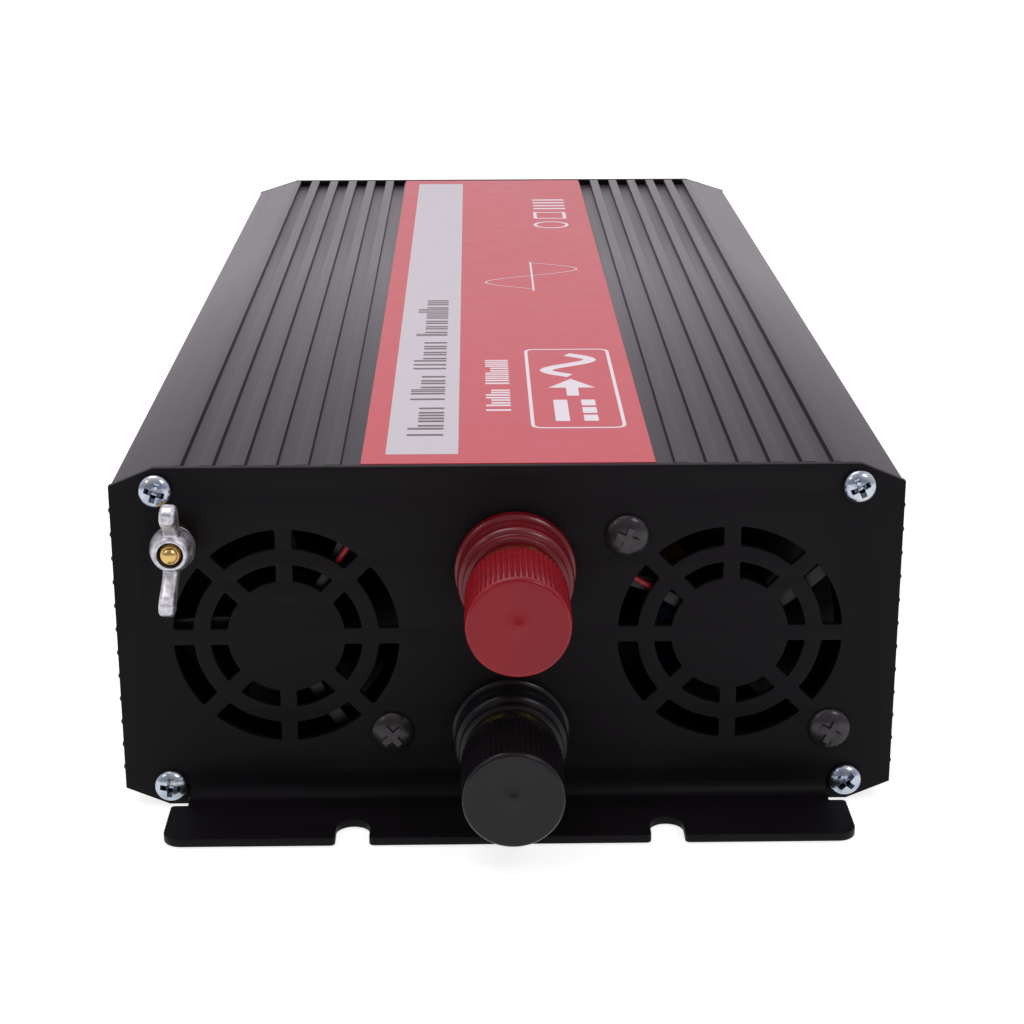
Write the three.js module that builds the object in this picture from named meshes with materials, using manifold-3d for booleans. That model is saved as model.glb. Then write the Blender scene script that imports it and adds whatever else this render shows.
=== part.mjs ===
import * as THREE from "three";
import { mergeVertices } from "three/addons/utils/BufferGeometryUtils.js";
import Module from "manifold-3d";

// A sine-wave power inverter in an extruded aluminium case, in millimetres.
// X runs across the case, Y from the battery end to the mains end, and Z is up. Everything is laid out
// from the outer face of the front plate at Y = 0, and the whole group is then moved along Y so that
// the origin lies on the ground under the middle of the object.

// Case and end plates
const caseLength = 394.8;
const plateWidth = 187;
const plateHeight = 86;
const sheet = 2;
const plateChamfer = { x: 10.5, z: 4.4 };
const gap = 0.3;

// Mounting flange, bent outwards from the foot of each end plate
const flange = { halfWidth: 82, reach: 23.4, bendRadius: 3, cornerRadius: 4.5 };
const neck = { halfWidth: 78, reach: 5.2 };
const mountSlot = { x: 37.3, width: 8, depth: 9.8, segments: 8 };

// Extruded shells
const shell = { halfWidth: 93.2, wall: 2.5, floor: 0.5, seam: 42 };
const ceiling = 82;
const floorTop = 3;
const shoulder = { x: 78.5, z: 81.6 };
const footChamfer = { x: 79.5, z: 4.7 };
const rib = { reach: 94.2, pitch: 6, lowest: 9, count: 12, root: 1.1, tip: 0.5 };
const groove = { outer: 76.8, pitch: 7.48, width: 4.2, depth: 2, count: 6 };
const labelBedDepth = 0.5;
const boss = { inner: 77.5, bevel: 2, height: 7 };
const boardRail = { reach: 3, lower: 12, upper: 15.4, thickness: 1.2 };
const tongue = { thickness: 1, length: 3 };

// Corner screws, M4 pan heads
const cornerScrew = { x: 82.5, topZ: 80.6, lowZ: 5.3, head: 4, headHeight: 2.7, shank: 1.7, length: 12 };
const cornerBore = 2.1;

// Fans, 60 mm frames
const fan = { x: 53.1, z: 43.7, size: 60, depth: 25, bore: 28.5, holeOffset: 25, hole: 2.2 };
const fanFront = sheet + gap;
const grille = { rings: [27, 22.2, 18.2, 14.1], spokes: 8, spokeWidth: 4, arcSegments: 2 };
const strut = { recess: 2.2, thickness: 2.6, width: 4, hub: 12.5 };
const leadCover = { end: 19, front: 0.4, width: 3 };
const leadChannel = { width: 3, notchDepth: 1.2 };
const strutAngles = { left: [55, 175, 295], right: [150, 30, 270] };
const rotor = { hub: 12.5, tip: 27.4, blades: 7, front: 8.2, back: 24.5, bladeThickness: 1.2 };
const bearing = { outer: 4, bore: 1.8, pin: 1.4, length: 9 };
const fanScrew = { head: 5.25, headHeight: 2.3, shank: 1.8, length: 12 };
const lead = { radius: 0.8, sides: 8, steps: 22, clearance: 2.6, behindFan: 5.5 };

// Battery posts, M8. The two aren't quite in line with each other.
const post = { red: { x: 1.6, z: 60.6 }, black: { x: 0.5, z: 18.8 }, stud: 4, bore: 4.5, plateHole: 8 };
const postBase = { flange: 14.4, flangeFront: -3, body: 13.7, bodyFront: -11, step: 12.5, front: -14 };
const clampRing = { radius: 10.6, front: -17.7, back: -14.4 };
const postCap = { radius: 12, front: -39.3, back: -18.2, roof: 3, edge: 1.2 };
const postNut = { acrossFlats: 13, height: 6.5, studEnd: 2 };
const insulator = { radius: 12, thickness: 2 };
const busbar = { halfWidth: 7, thickness: 2, foot: 8 };
const redBusbar = { lugEnd: 72, shelf: 49, legY: 44 };
const blackBusbar = { lugEnd: 9, shelf: 28, legY: 31 };

// Earth stud with its wing nut, M5
const earth = { x: -78.1, z: 68.7, stud: 2.5, bore: 2.8, front: -13.6, headHeight: 3.5 };
const earthNut = { acrossFlats: 8, front: -4 };
const earthWasher = { radius: 5, front: -5.3, back: -4.3 };
const wing = { span: 13.2, tipFront: -18.6, thickness: 3.7, lean: 3 };
const wingHub = { radius: 5.3, front: -12.1, back: -5.6 };

// Label on the top of the case
const label = { left: -34.6, right: 34.8, front: 2.6, back: 392.2, thickness: 0.3 };

// Inside of the case
const board = { halfWidth: 90.2, bottom: 13.5, thickness: 1.6, front: 29, back: 385 };
const boardTop = board.bottom + board.thickness;
const seat = boardTop + gap;
const sheetUnder = { halfWidth: 75, front: 20, back: 385, thickness: 0.5 };
const transformer = { x: 36, y: 120 };
const core = { halfWidth: 28, height: 50, halfDepth: 11, legHalf: 8.5, window: 10, yoke: 8.5 };
const winding = { outside: 9, slack: 0.4 };
const heatBar = { inner: 85, front: 60, back: 330, bottom: 18, top: 37 };
const fuse = { x: 40, halfWidth: 4, front: 50, back: 70, height: 18 };
const capacitor = { x: -60, y: [230, 270], radius: 15, height: 42 };
const driver = { x: -22, thickness: 1.6, front: 215, back: 315, height: 34 };
const choke = { x: 36, y: 260, ring: 16, tube: 7.5 };

// Mains end
const socket = { x: [62, 8], z: 46, flange: 25, body: 22.3, flangeThickness: 2, depth: 30, sides: 28 };
const cup = { radius: 19.7, depth: 17.5, pinRadius: 2.6, pinSpacing: 19 };
const rocker = { x: -46, z: 56, width: 26, height: 18, depth: 16, flange: 1.6, rim: 2.5, lip: 1.5 };
const rockerKey = { pivot: 2, tilt: 8, end: 3.4, hollow: 1.8, shoulder: -2, toe: 4, foot: -8 };
const light = { radius: 2.4, hole: 2.75, x: [-64, -28], z: 36, depth: 6, rim: 0.8, height: 2.2, sides: 14 };
const vent = { first: -80, pitch: 7, count: 9, width: 3.2, low: 12, high: 28 };

const wasm = await Module();
wasm.setup();

// --- Shaping helpers ---------------------------------------------------------------------------

function solidOf(geometry) {
  const bare = geometry.clone();
  bare.deleteAttribute("normal");
  bare.deleteAttribute("uv");
  const merged = mergeVertices(bare, 1e-4);
  const mesh = new wasm.Mesh({
    numProp: 3,
    vertProperties: new Float32Array(merged.attributes.position.array),
    triVerts: new Uint32Array(merged.index.array),
  });
  return new wasm.Manifold(mesh);
}

function geometryOf(solid) {
  const mesh = solid.getMesh();
  const geometry = new THREE.BufferGeometry();
  geometry.setAttribute("position", new THREE.BufferAttribute(mesh.vertProperties, mesh.numProp));
  geometry.setIndex(new THREE.BufferAttribute(mesh.triVerts, 1));
  geometry.computeVertexNormals();
  return geometry;
}

function join(first, ...others) {
  return geometryOf(others.reduce((sum, piece) => sum.add(solidOf(piece)), solidOf(first)));
}

function cut(blank, ...tools) {
  return geometryOf(tools.reduce((rest, tool) => rest.subtract(solidOf(tool)), solidOf(blank)));
}

function outline(points) {
  return new THREE.Shape(points.map(([a, b]) => new THREE.Vector2(a, b)));
}

function circle(x, y, radius) {
  return new THREE.Shape().absarc(x, y, radius, 0, 2 * Math.PI);
}

function rectangle(x0, y0, x1, y1) {
  return outline([[x0, y0], [x1, y0], [x1, y1], [x0, y1]]);
}

// A shape drawn in XY, raised from z0 to z1.
function alongZ(shape, z0, z1, curveSegments = 6) {
  const options = { depth: z1 - z0, bevelEnabled: false, curveSegments };
  return new THREE.ExtrudeGeometry(shape, options).translate(0, 0, z0);
}

// A shape drawn in XZ, run from y0 to y1.
function alongY(shape, y0, y1, curveSegments = 6) {
  const options = { depth: y1 - y0, bevelEnabled: false, curveSegments };
  return new THREE.ExtrudeGeometry(shape, options).rotateX(Math.PI / 2).translate(0, y1, 0);
}

// A shape drawn in YZ, run from x0 to x1.
function alongX(shape, x0, x1, curveSegments = 6) {
  const options = { depth: x1 - x0, bevelEnabled: false, curveSegments };
  const turn = new THREE.Matrix4().makeBasis(
    new THREE.Vector3(0, 1, 0),
    new THREE.Vector3(0, 0, 1),
    new THREE.Vector3(1, 0, 0),
  );
  return new THREE.ExtrudeGeometry(shape, options).applyMatrix4(turn).translate(x0, 0, 0);
}

// A profile of [radius, y] points, listed from low y to high y on its outside, turned about Y.
function turned(profile, segments = 20) {
  const points = profile.map(([radius, y]) => new THREE.Vector2(radius, y));
  return new THREE.LatheGeometry(points, segments);
}

function cylinderY(x, z, radius, y0, y1, segments = 16) {
  return turned([[0, y0], [radius, y0], [radius, y1], [0, y1]], segments).translate(x, 0, z);
}

function ringY(outer, inner, y0, y1, segments = 20) {
  return turned([[inner, y0], [outer, y0], [outer, y1], [inner, y1], [inner, y0]], segments);
}

function box(x0, y0, z0, x1, y1, z1) {
  const geometry = new THREE.BoxGeometry(x1 - x0, y1 - y0, z1 - z0);
  return geometry.translate((x0 + x1) / 2, (y0 + y1) / 2, (z0 + z1) / 2);
}

function hexagon(acrossFlats) {
  const corner = acrossFlats / Math.sqrt(3);
  const points = [];
  for (let i = 0; i < 6; i++) {
    const angle = (i * Math.PI) / 3;
    points.push([corner * Math.cos(angle), corner * Math.sin(angle)]);
  }
  return outline(points);
}

function nut(acrossFlats, bore, y0, y1) {
  const shape = hexagon(acrossFlats);
  shape.holes.push(circle(0, 0, bore));
  return alongY(shape, y0, y1);
}

function radians(degrees) {
  return (degrees * Math.PI) / 180;
}

// --- Materials ---------------------------------------------------------------------------------

function finish(color, roughness, metalness = 0) {
  return new THREE.MeshStandardMaterial({ color, roughness, metalness });
}

const finishes = {
  anodised: finish(0x3a383b, 0.5, 0.7),
  blackPaint: finish(0x19181a, 0.55, 0.2),
  blackPlastic: finish(0x111112, 0.45),
  redPlastic: finish(0x7a0e1a, 0.35),
  redVinyl: finish(0xb3202c, 0.4),
  zinc: finish(0xb4bac4, 0.3, 1),
  blackSteel: finish(0x1d1c1d, 0.4, 0.8),
  brass: finish(0xc09a4a, 0.3, 1),
  copper: finish(0xb87048, 0.35, 1),
  circuit: finish(0x1f4a2c, 0.5),
  ferrite: finish(0x2a2a2c, 0.8),
  tape: finish(0xc9a227, 0.5),
  barMetal: finish(0xa9abae, 0.45, 0.9),
  card: finish(0xd8d2c0, 0.8),
  sleeve: finish(0x20242e, 0.4),
  redWire: finish(0xa01820, 0.5),
  greenLens: finish(0x2fae4a, 0.2),
  redLens: finish(0xc22a2a, 0.2),
  fuseBody: finish(0x2c6fb0, 0.3),
};

const inverter = new THREE.Group();

function addNode(name, geometry, material) {
  const mesh = new THREE.Mesh(geometry, material);
  mesh.name = name;
  inverter.add(mesh);
  return mesh;
}

// --- Extruded shells ---------------------------------------------------------------------------

// The ribs along one side wall, as outline points that climb from the lowest to the highest.
function ribPoints(first, last) {
  const points = [];
  for (let i = first; i <= last; i++) {
    const z = rib.lowest + i * rib.pitch;
    points.push([shell.halfWidth, z - rib.root], [rib.reach, z - rib.tip]);
    points.push([rib.reach, z + rib.tip], [shell.halfWidth, z + rib.root]);
  }
  return points;
}

function groovePoints() {
  const points = [];
  for (let i = 0; i < groove.count; i++) {
    const outer = groove.outer - i * groove.pitch;
    const inner = outer - groove.width;
    points.push([outer, plateHeight], [outer, plateHeight - groove.depth]);
    points.push([inner, plateHeight - groove.depth], [inner, plateHeight]);
  }
  return points;
}

// Half an outline, from the right side to the middle, completed by its mirror image.
function mirrored(half) {
  const other = half.map(([x, z]) => [-x, z]).reverse();
  return [...half, ...other];
}

function extrusion(outer, inner, boreZ) {
  const shape = outline([...mirrored(outer), ...mirrored(inner).reverse()]);
  const bores = [-1, 1].map((side) =>
    cylinderY(side * cornerScrew.x, boreZ, cornerBore, 0, caseLength, 10),
  );
  return cut(alongY(shape, sheet + gap, caseLength - sheet - gap), ...bores);
}

function topShell() {
  const innerWall = shell.halfWidth - shell.wall;
  const bedEdge = groove.outer - (groove.count - 1) * groove.pitch - groove.width;
  const outer = [
    [innerWall + tongue.thickness, shell.seam],
    [shell.halfWidth, shell.seam],
    ...ribPoints(rib.count / 2, rib.count - 1),
    [shell.halfWidth, shoulder.z],
    [shoulder.x, plateHeight],
    ...groovePoints().slice(0, -1),
    [bedEdge, plateHeight - labelBedDepth],
  ];
  const bossFoot = ceiling - boss.height + 1;
  const inner = [
    [innerWall + tongue.thickness, shell.seam - tongue.length],
    [innerWall, shell.seam - tongue.length],
    [innerWall, bossFoot],
    [boss.inner + boss.bevel, bossFoot],
    [boss.inner, bossFoot + boss.bevel],
    [boss.inner, ceiling],
  ];
  return extrusion(outer, inner, cornerScrew.topZ);
}

function bottomShell() {
  const innerWall = shell.halfWidth - shell.wall;
  const outerLip = innerWall + tongue.thickness + gap;
  const bossTop = floorTop + boss.height;
  const outer = [
    [outerLip, shell.seam - gap],
    [shell.halfWidth, shell.seam - gap],
    ...ribPoints(0, rib.count / 2 - 1).reverse(),
    [shell.halfWidth, footChamfer.z],
    [footChamfer.x, shell.floor],
  ];
  const rails = [boardRail.upper, boardRail.lower].flatMap((low) => [
    [innerWall, low + boardRail.thickness],
    [innerWall - boardRail.reach, low + boardRail.thickness],
    [innerWall - boardRail.reach, low],
    [innerWall, low],
  ]);
  const inner = [
    [outerLip, shell.seam - tongue.length - gap],
    [innerWall, shell.seam - tongue.length - gap],
    ...rails,
    [innerWall, bossTop],
    [boss.inner + boss.bevel, bossTop],
    [boss.inner, bossTop - boss.bevel],
    [boss.inner, floorTop],
  ];
  return extrusion(outer, inner, cornerScrew.lowZ);
}

// --- End plates --------------------------------------------------------------------------------

function chamferedPlate() {
  const half = plateWidth / 2;
  const { x, z } = plateChamfer;
  const right = [[half - x, 0], [half, z], [half, plateHeight - z], [half - x, plateHeight]];
  return outline(mirrored(right));
}

// The bend and the first part of the flange, as a profile in YZ.
function bendProfile() {
  const bend = flange.bendRadius;
  const shape = new THREE.Shape();
  shape.moveTo(0, sheet + bend + 1);
  shape.lineTo(0, sheet + bend);
  shape.absarc(-bend, sheet + bend, bend, 0, -Math.PI / 2, true);
  shape.lineTo(-neck.reach - 1, sheet);
  shape.lineTo(-neck.reach - 1, 0);
  shape.lineTo(-bend, 0);
  shape.absarc(-bend, sheet + bend, bend + sheet, -Math.PI / 2, 0, false);
  shape.lineTo(sheet, sheet + bend + 1);
  return shape;
}

// The flange in plan, from the neck on the left round to the neck on the right, before its slots are cut.
function flangeShape() {
  const { halfWidth, reach, cornerRadius } = flange;
  const shape = new THREE.Shape();
  shape.moveTo(-halfWidth, -neck.reach);
  shape.lineTo(-halfWidth, cornerRadius - reach);
  shape.absarc(cornerRadius - halfWidth, cornerRadius - reach, cornerRadius, Math.PI, 1.5 * Math.PI);
  shape.lineTo(halfWidth - cornerRadius, -reach);
  shape.absarc(halfWidth - cornerRadius, cornerRadius - reach, cornerRadius, -Math.PI / 2, 0);
  shape.lineTo(halfWidth, -neck.reach);
  return shape;
}

function slotTool(x) {
  const radius = mountSlot.width / 2;
  const end = mountSlot.depth - flange.reach - radius;
  const shape = new THREE.Shape();
  shape.moveTo(x - radius, -flange.reach - 1);
  shape.lineTo(x + radius, -flange.reach - 1);
  shape.absarc(x, end, radius, 0, Math.PI);
  return alongZ(shape, -1, sheet + 1, mountSlot.segments);
}

function punch(shape) {
  return alongY(shape, -1, sheet + 1, grille.arcSegments);
}

function roundPunch(x, z, radius, segments = 12) {
  return cylinderY(x, z, radius, -1, sheet + 1, segments);
}

// An end plate with its flange, facing -Y, and its punched openings.
function endPlate(punches) {
  const plate = chamferedPlate();
  for (const side of [-1, 1])
    for (const z of [cornerScrew.topZ, cornerScrew.lowZ])
      plate.holes.push(circle(side * cornerScrew.x, z, cornerBore));
  const foot = sheet + flange.bendRadius;
  const bendClear = box(-neck.halfWidth, -1, -1, neck.halfWidth, sheet + 1, foot);
  const flat = cut(alongY(plate, 0, sheet), bendClear, ...punches);
  const bend = alongX(bendProfile(), -neck.halfWidth, neck.halfWidth);
  const apron = alongZ(flangeShape(), 0, sheet, 4);
  return cut(join(flat, bend, apron), slotTool(-mountSlot.x), slotTool(mountSlot.x));
}

// One grille slot between two rings and two spokes, its ends parallel to the spokes.
function grilleSlot(x, z, inner, outer, centreAngle) {
  const reach = Math.PI / grille.spokes;
  const half = grille.spokeWidth / 2;
  const outerAngle = reach - Math.asin(half / outer);
  const innerAngle = reach - Math.asin(half / inner);
  const shape = new THREE.Shape();
  shape.absarc(x, z, outer, centreAngle - outerAngle, centreAngle + outerAngle, false);
  shape.absarc(x, z, inner, centreAngle + innerAngle, centreAngle - innerAngle, true);
  return shape;
}

function fanGrille(x) {
  const slots = [];
  for (let ring = 0; ring < grille.rings.length; ring += 2)
    for (let i = 0; i < grille.spokes; i++) {
      const angle = ((i + 0.5) * 2 * Math.PI) / grille.spokes;
      slots.push(punch(grilleSlot(x, fan.z, grille.rings[ring + 1], grille.rings[ring], angle)));
    }
  return slots;
}

function frontPlate() {
  const punches = [...fanGrille(-fan.x), ...fanGrille(fan.x)];
  for (const [x, z] of fanScrewPlaces) punches.push(roundPunch(x, z, fan.hole));
  for (const { x, z } of [post.red, post.black]) punches.push(roundPunch(x, z, post.plateHole, 20));
  punches.push(roundPunch(earth.x, earth.z, earth.bore));
  return endPlate(punches);
}

// The rear plate is drawn facing -Y and turned to face +Y, so its openings lie at mirrored X.
function rearPlate() {
  const punches = socket.x.map((x) => roundPunch(-x, socket.z, socket.body + gap, socket.sides));
  const halfWidth = rocker.width / 2 + gap;
  const halfHeight = rocker.height / 2 + gap;
  const [x, z] = [-rocker.x, rocker.z];
  punches.push(punch(rectangle(x - halfWidth, z - halfHeight, x + halfWidth, z + halfHeight)));
  for (const lampX of light.x) punches.push(roundPunch(-lampX, light.z, light.hole, light.sides));
  for (let i = 0; i < vent.count; i++) {
    const centre = -(vent.first + i * vent.pitch);
    punches.push(punch(rectangle(centre - vent.width / 2, vent.low, centre + vent.width / 2, vent.high)));
  }
  return endPlate(punches).rotateZ(Math.PI).translate(0, caseLength, 0);
}

// --- Fans --------------------------------------------------------------------------------------

const fanScrewPlaces = [
  [fan.x - fan.holeOffset, fan.z + fan.holeOffset],
  [fan.x + fan.holeOffset, fan.z - fan.holeOffset],
  [-fan.x + fan.holeOffset, fan.z - fan.holeOffset],
];

// A bar that leaves the fan's axis at an angle, between two radii.
function radialBar(angle, fromRadius, toRadius, width, y0, y1) {
  return box(fromRadius, y0, -width / 2, toRadius, y1, width / 2).rotateY(-radians(angle));
}

// The frame is built about its own axis. Its lead comes out from under a cover on the first strut and
// leaves along that strut, through a channel in the frame.
function fanFrame(angles, earthCorner) {
  const half = fan.size / 2;
  const corner = 3;
  const square = outline(
    mirrored([[half - corner, -half], [half, corner - half], [half, half - corner], [half - corner, half]]),
  );
  square.holes.push(circle(0, 0, fan.bore));
  for (const sx of [-1, 1])
    for (const sz of [-1, 1]) {
      const radius = earthCorner && sx < 0 && sz > 0 ? earth.bore : fan.hole;
      square.holes.push(circle(sx * fan.holeOffset, sz * fan.holeOffset, radius));
    }
  const ring = alongY(square, 0, fan.depth, 8);
  const strutFront = strut.recess;
  const strutBack = strut.recess + strut.thickness;
  const hub = turned([[0, strutFront], [strut.hub, strutFront], [strut.hub, strutBack], [0, strutBack]]);
  const bars = angles.map((angle) =>
    radialBar(angle, strut.hub - 1, fan.bore + 0.8, strut.width, strutFront, strutBack),
  );
  const sleeve = cylinderY(0, 0, bearing.outer, strutBack - 0.5, strutBack + bearing.length);
  const cover = radialBar(
    angles[0], strut.hub - 1, leadCover.end, leadCover.width, leadCover.front, strutFront + 0.5,
  );
  const past = fan.size * 0.75;
  const channel = radialBar(angles[0], fan.bore - 4, past, leadChannel.width, -1, strutFront);
  const notchBack = strutFront + leadChannel.notchDepth;
  const notch = radialBar(angles[0], half, past, leadChannel.width, -1, notchBack);
  const bore = cylinderY(0, 0, bearing.bore, strutBack + 1, strutBack + bearing.length + 1, 12);
  return cut(join(ring, hub, ...bars, cover, sleeve), channel, notch, bore);
}

// The rotor: a cup over the bearing sleeve, a pin in its bore and seven pitched blades.
function fanRotor() {
  const { hub, tip, blades, front, back, bladeThickness } = rotor;
  const cupWall = 2;
  const cup = turned([
    [hub - cupWall, front],
    [hub, front],
    [hub, back],
    [bearing.pin, back],
    [0, back],
    [0, back - cupWall],
    [hub - cupWall, back - cupWall],
    [hub - cupWall, front],
  ]);
  const pin = cylinderY(0, 0, bearing.pin, front - 1, back - cupWall + 0.5, 12);
  const middle = (front + back) / 2;
  const vanes = [];
  for (let i = 0; i < blades; i++) {
    const vane = box(hub - 1, -6, -bladeThickness / 2, tip, 6, bladeThickness / 2);
    vane.rotateX(radians(42)).translate(0, middle, 0).rotateY((i * 2 * Math.PI) / blades);
    vanes.push(vane);
  }
  return join(cup, pin, ...vanes);
}

// The lead: from its cover along the strut, over the edge of the frame, back past the fan and down.
function fanLead(angle) {
  const direction = new THREE.Vector2(Math.cos(radians(angle)), Math.sin(radians(angle)));
  const along = (radius, y) => new THREE.Vector3(direction.x * radius, y, direction.y * radius);
  const channelY = strut.recess / 2;
  const edge = (fan.size / 2 + lead.clearance) / Math.max(Math.abs(direction.x), Math.abs(direction.y));
  const outside = along(edge, 0);
  const behind = fan.depth + lead.behindFan;
  const route = new THREE.CatmullRomCurve3(
    [
      along(leadCover.end + gap, channelY),
      along(edge - 4, channelY),
      along(edge - 1, channelY + 1),
      new THREE.Vector3(outside.x, 5, outside.z),
      new THREE.Vector3(outside.x, fan.depth / 2, outside.z),
      new THREE.Vector3(outside.x, fan.depth, outside.z),
      new THREE.Vector3(outside.x, behind - 0.5, outside.z - 5),
      new THREE.Vector3(outside.x, behind, 0),
      new THREE.Vector3(outside.x, behind, seat + 1 - fan.z),
    ],
    false,
    "centripetal",
  );
  const section = new THREE.Shape().absarc(0, 0, lead.radius, 0, 2 * Math.PI);
  const options = { steps: lead.steps, curveSegments: lead.sides / 2, extrudePath: route };
  return new THREE.ExtrudeGeometry(section, options);
}

// --- Screws, studs and nuts --------------------------------------------------------------------

// A domed screw whose head lies in front of Y = 0 and whose shank runs back from it.
function domedScrew({ head, headHeight, shank, length }) {
  const profile = [[0, -headHeight]];
  const steps = 3;
  for (let i = 1; i < steps; i++) {
    const angle = (i * Math.PI) / 2 / steps;
    profile.push([head * Math.sin(angle), -headHeight * (0.35 + 0.65 * Math.cos(angle))]);
  }
  profile.push([head, -headHeight * 0.35], [head, -0.1], [shank, -0.1], [shank, length], [0, length]);
  return turned(profile, 12);
}

function wingNut() {
  const { span, tipFront } = wing;
  const { radius, front, back } = wingHub;
  const hub = turned(
    [
      [earth.bore, front],
      [radius - 1, front],
      [radius, back],
      [earth.bore, back],
      [earth.bore, front],
    ],
    16,
  );
  const root = earth.bore + 0.8;
  const blade = outline([
    [root, back - 1.4],
    [span - 3.7, tipFront + 9.4],
    [span - 0.4, tipFront + 6],
    [span, tipFront + 2],
    [span - 1.8, tipFront],
    [span - 4.4, tipFront + 1.2],
    [span - 6.8, tipFront + 5.2],
    [root, tipFront + 6.8],
  ]);
  const right = alongZ(blade, -wing.thickness / 2, wing.thickness / 2);
  const left = right.clone().rotateY(Math.PI);
  const bore = cylinderY(0, 0, earth.bore, tipFront - 1, 0, 12);
  return cut(join(hub, right, left), bore).rotateY(-radians(90 + wing.lean));
}

// --- Battery posts -----------------------------------------------------------------------------

function postBaseShape() {
  const { front, step, bodyFront, body, flangeFront } = postBase;
  return turned(
    [
      [post.bore, front],
      [step, front],
      [step, bodyFront],
      [body, bodyFront],
      [body, flangeFront],
      [postBase.flange, flangeFront],
      [postBase.flange, -gap],
      [post.bore, -gap],
      [post.bore, front],
    ],
    24,
  );
}

function postInsulator() {
  const spigot = post.plateHole - gap;
  const back = sheet + gap + insulator.thickness;
  return turned([
    [post.bore, 0.1],
    [spigot, 0.1],
    [spigot, sheet + gap],
    [insulator.radius, sheet + gap],
    [insulator.radius, back],
    [post.bore, back],
    [post.bore, 0.1],
  ]);
}

function postCapShape() {
  const { radius, front, back, edge } = postCap;
  const roof = front + postCap.roof;
  return turned(
    [
      [0, front],
      [radius - edge, front],
      [radius, front + edge],
      [radius, back],
      [post.bore, back],
      [post.bore, roof],
      [0, roof],
    ],
    28,
  );
}

// A folded strip: a lug round the stud, a shelf that runs back, a leg down and a foot on the board.
// The lug stands above its shelf where its free end is the higher, and hangs below it otherwise.
function busbarShape({ x, z }, { lugEnd, shelf, legY }) {
  const t = busbar.thickness;
  const front = sheet + gap + insulator.thickness + gap;
  const standing = lugEnd > shelf;
  const [low, high] = [shelf, shelf + t];
  const lug = standing
    ? [[front + t, high], [front + t, lugEnd], [front, lugEnd], [front, low]]
    : [[front, high], [front, lugEnd], [front + t, lugEnd], [front + t, low]];
  const leg = [
    [legY, low],
    [legY, seat],
    [legY + busbar.foot, seat],
    [legY + busbar.foot, seat + t],
    [legY + t, seat + t],
    [legY + t, high],
  ];
  const folded = alongX(outline([...lug, ...leg]), x - busbar.halfWidth, x + busbar.halfWidth);
  return cut(folded, cylinderY(x, z, post.bore, front - 1, front + t + 1));
}

// --- Inside of the case ------------------------------------------------------------------------

function transformerCore(x, y) {
  const windows = [-1, 1].map((side) => {
    const middle = x + side * (core.legHalf + core.window / 2);
    const [x0, x1] = [middle - core.window / 2, middle + core.window / 2];
    const depth = core.halfDepth + 1;
    return box(x0, y - depth, seat + core.yoke, x1, y + depth, seat + core.height - core.yoke);
  });
  const [x0, x1] = [x - core.halfWidth, x + core.halfWidth];
  return cut(box(x0, y - core.halfDepth, seat, x1, y + core.halfDepth, seat + core.height), ...windows);
}

function transformerWinding(x, y) {
  const { outside, slack } = winding;
  const outerX = core.legHalf + core.window - slack;
  const outerY = core.halfDepth + outside;
  const innerX = core.legHalf + slack;
  const innerY = core.halfDepth + slack;
  const shape = rectangle(x - outerX, y - outerY, x + outerX, y + outerY);
  shape.holes.push(rectangle(x - innerX, y - innerY, x + innerX, y + innerY));
  return alongZ(shape, seat + core.yoke + slack, seat + core.height - core.yoke - slack);
}

function uprightCan(x, y, radius, height) {
  return turned([[0, 0], [radius, 0], [radius, height], [0, height]], 18)
    .rotateX(Math.PI / 2)
    .translate(x, y, seat);
}

function chokeRing() {
  const ring = new THREE.TorusGeometry(choke.ring, choke.tube, 8, 16);
  return ring.translate(choke.x, choke.y, seat + choke.tube);
}

// --- Mains end ---------------------------------------------------------------------------------

// A recessed socket, drawn about its own axis with its flange outside the rear plate.
function mainsSocket() {
  const face = caseLength + gap + socket.flangeThickness;
  const cupFloor = face - cup.depth;
  const back = caseLength - socket.depth;
  const body = turned(
    [
      [0, back],
      [socket.body, back],
      [socket.body, caseLength + gap],
      [socket.flange, caseLength + gap],
      [socket.flange, face],
      [cup.radius, face],
      [cup.radius, cupFloor],
      [0, cupFloor],
    ],
    socket.sides,
  );
  const pins = [-1, 1].map((side) =>
    cylinderY((side * cup.pinSpacing) / 2, 0, cup.pinRadius, back - 1, face, 12),
  );
  return cut(body, ...pins);
}

function switchHousing() {
  const half = { x: rocker.width / 2, z: rocker.height / 2 };
  const bezel = box(
    -half.x - rocker.rim, caseLength + gap, -half.z - rocker.rim,
    half.x + rocker.rim, caseLength + gap + rocker.flange, half.z + rocker.rim,
  );
  const body = box(-half.x, caseLength - rocker.depth, -half.z, half.x, caseLength + 1, half.z);
  const well = box(
    -half.x + rocker.rim, caseLength - rocker.depth + 2, -half.z + rocker.lip,
    half.x - rocker.rim, caseLength + 10, half.z - rocker.lip,
  );
  return cut(join(bezel, body), well);
}

// The rocker about its own hinge line, with one end pressed in.
function switchRocker() {
  const { tilt, end, hollow, shoulder, toe, foot } = rockerKey;
  const endPlay = 1.2;
  const sidePlay = 0.4;
  const halfLength = rocker.width / 2 - rocker.rim - endPlay;
  const halfHeight = rocker.height / 2 - rocker.lip - sidePlay;
  const shape = new THREE.Shape();
  shape.moveTo(-halfLength, end);
  shape.quadraticCurveTo(0, hollow, halfLength, end);
  shape.lineTo(halfLength, shoulder);
  shape.lineTo(toe, foot);
  shape.lineTo(-toe, foot);
  shape.lineTo(-halfLength, shoulder);
  return alongZ(shape, -halfHeight, halfHeight, 5).rotateZ(radians(tilt));
}

function indicator() {
  const face = caseLength + gap;
  return turned(
    [
      [0, caseLength - light.depth],
      [light.radius, caseLength - light.depth],
      [light.radius, face],
      [light.radius + light.rim, face],
      [light.radius + light.rim, face + 0.5],
      [light.radius * 0.8, face + 1.6],
      [0, face + light.height],
    ],
    light.sides,
  );
}

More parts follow.
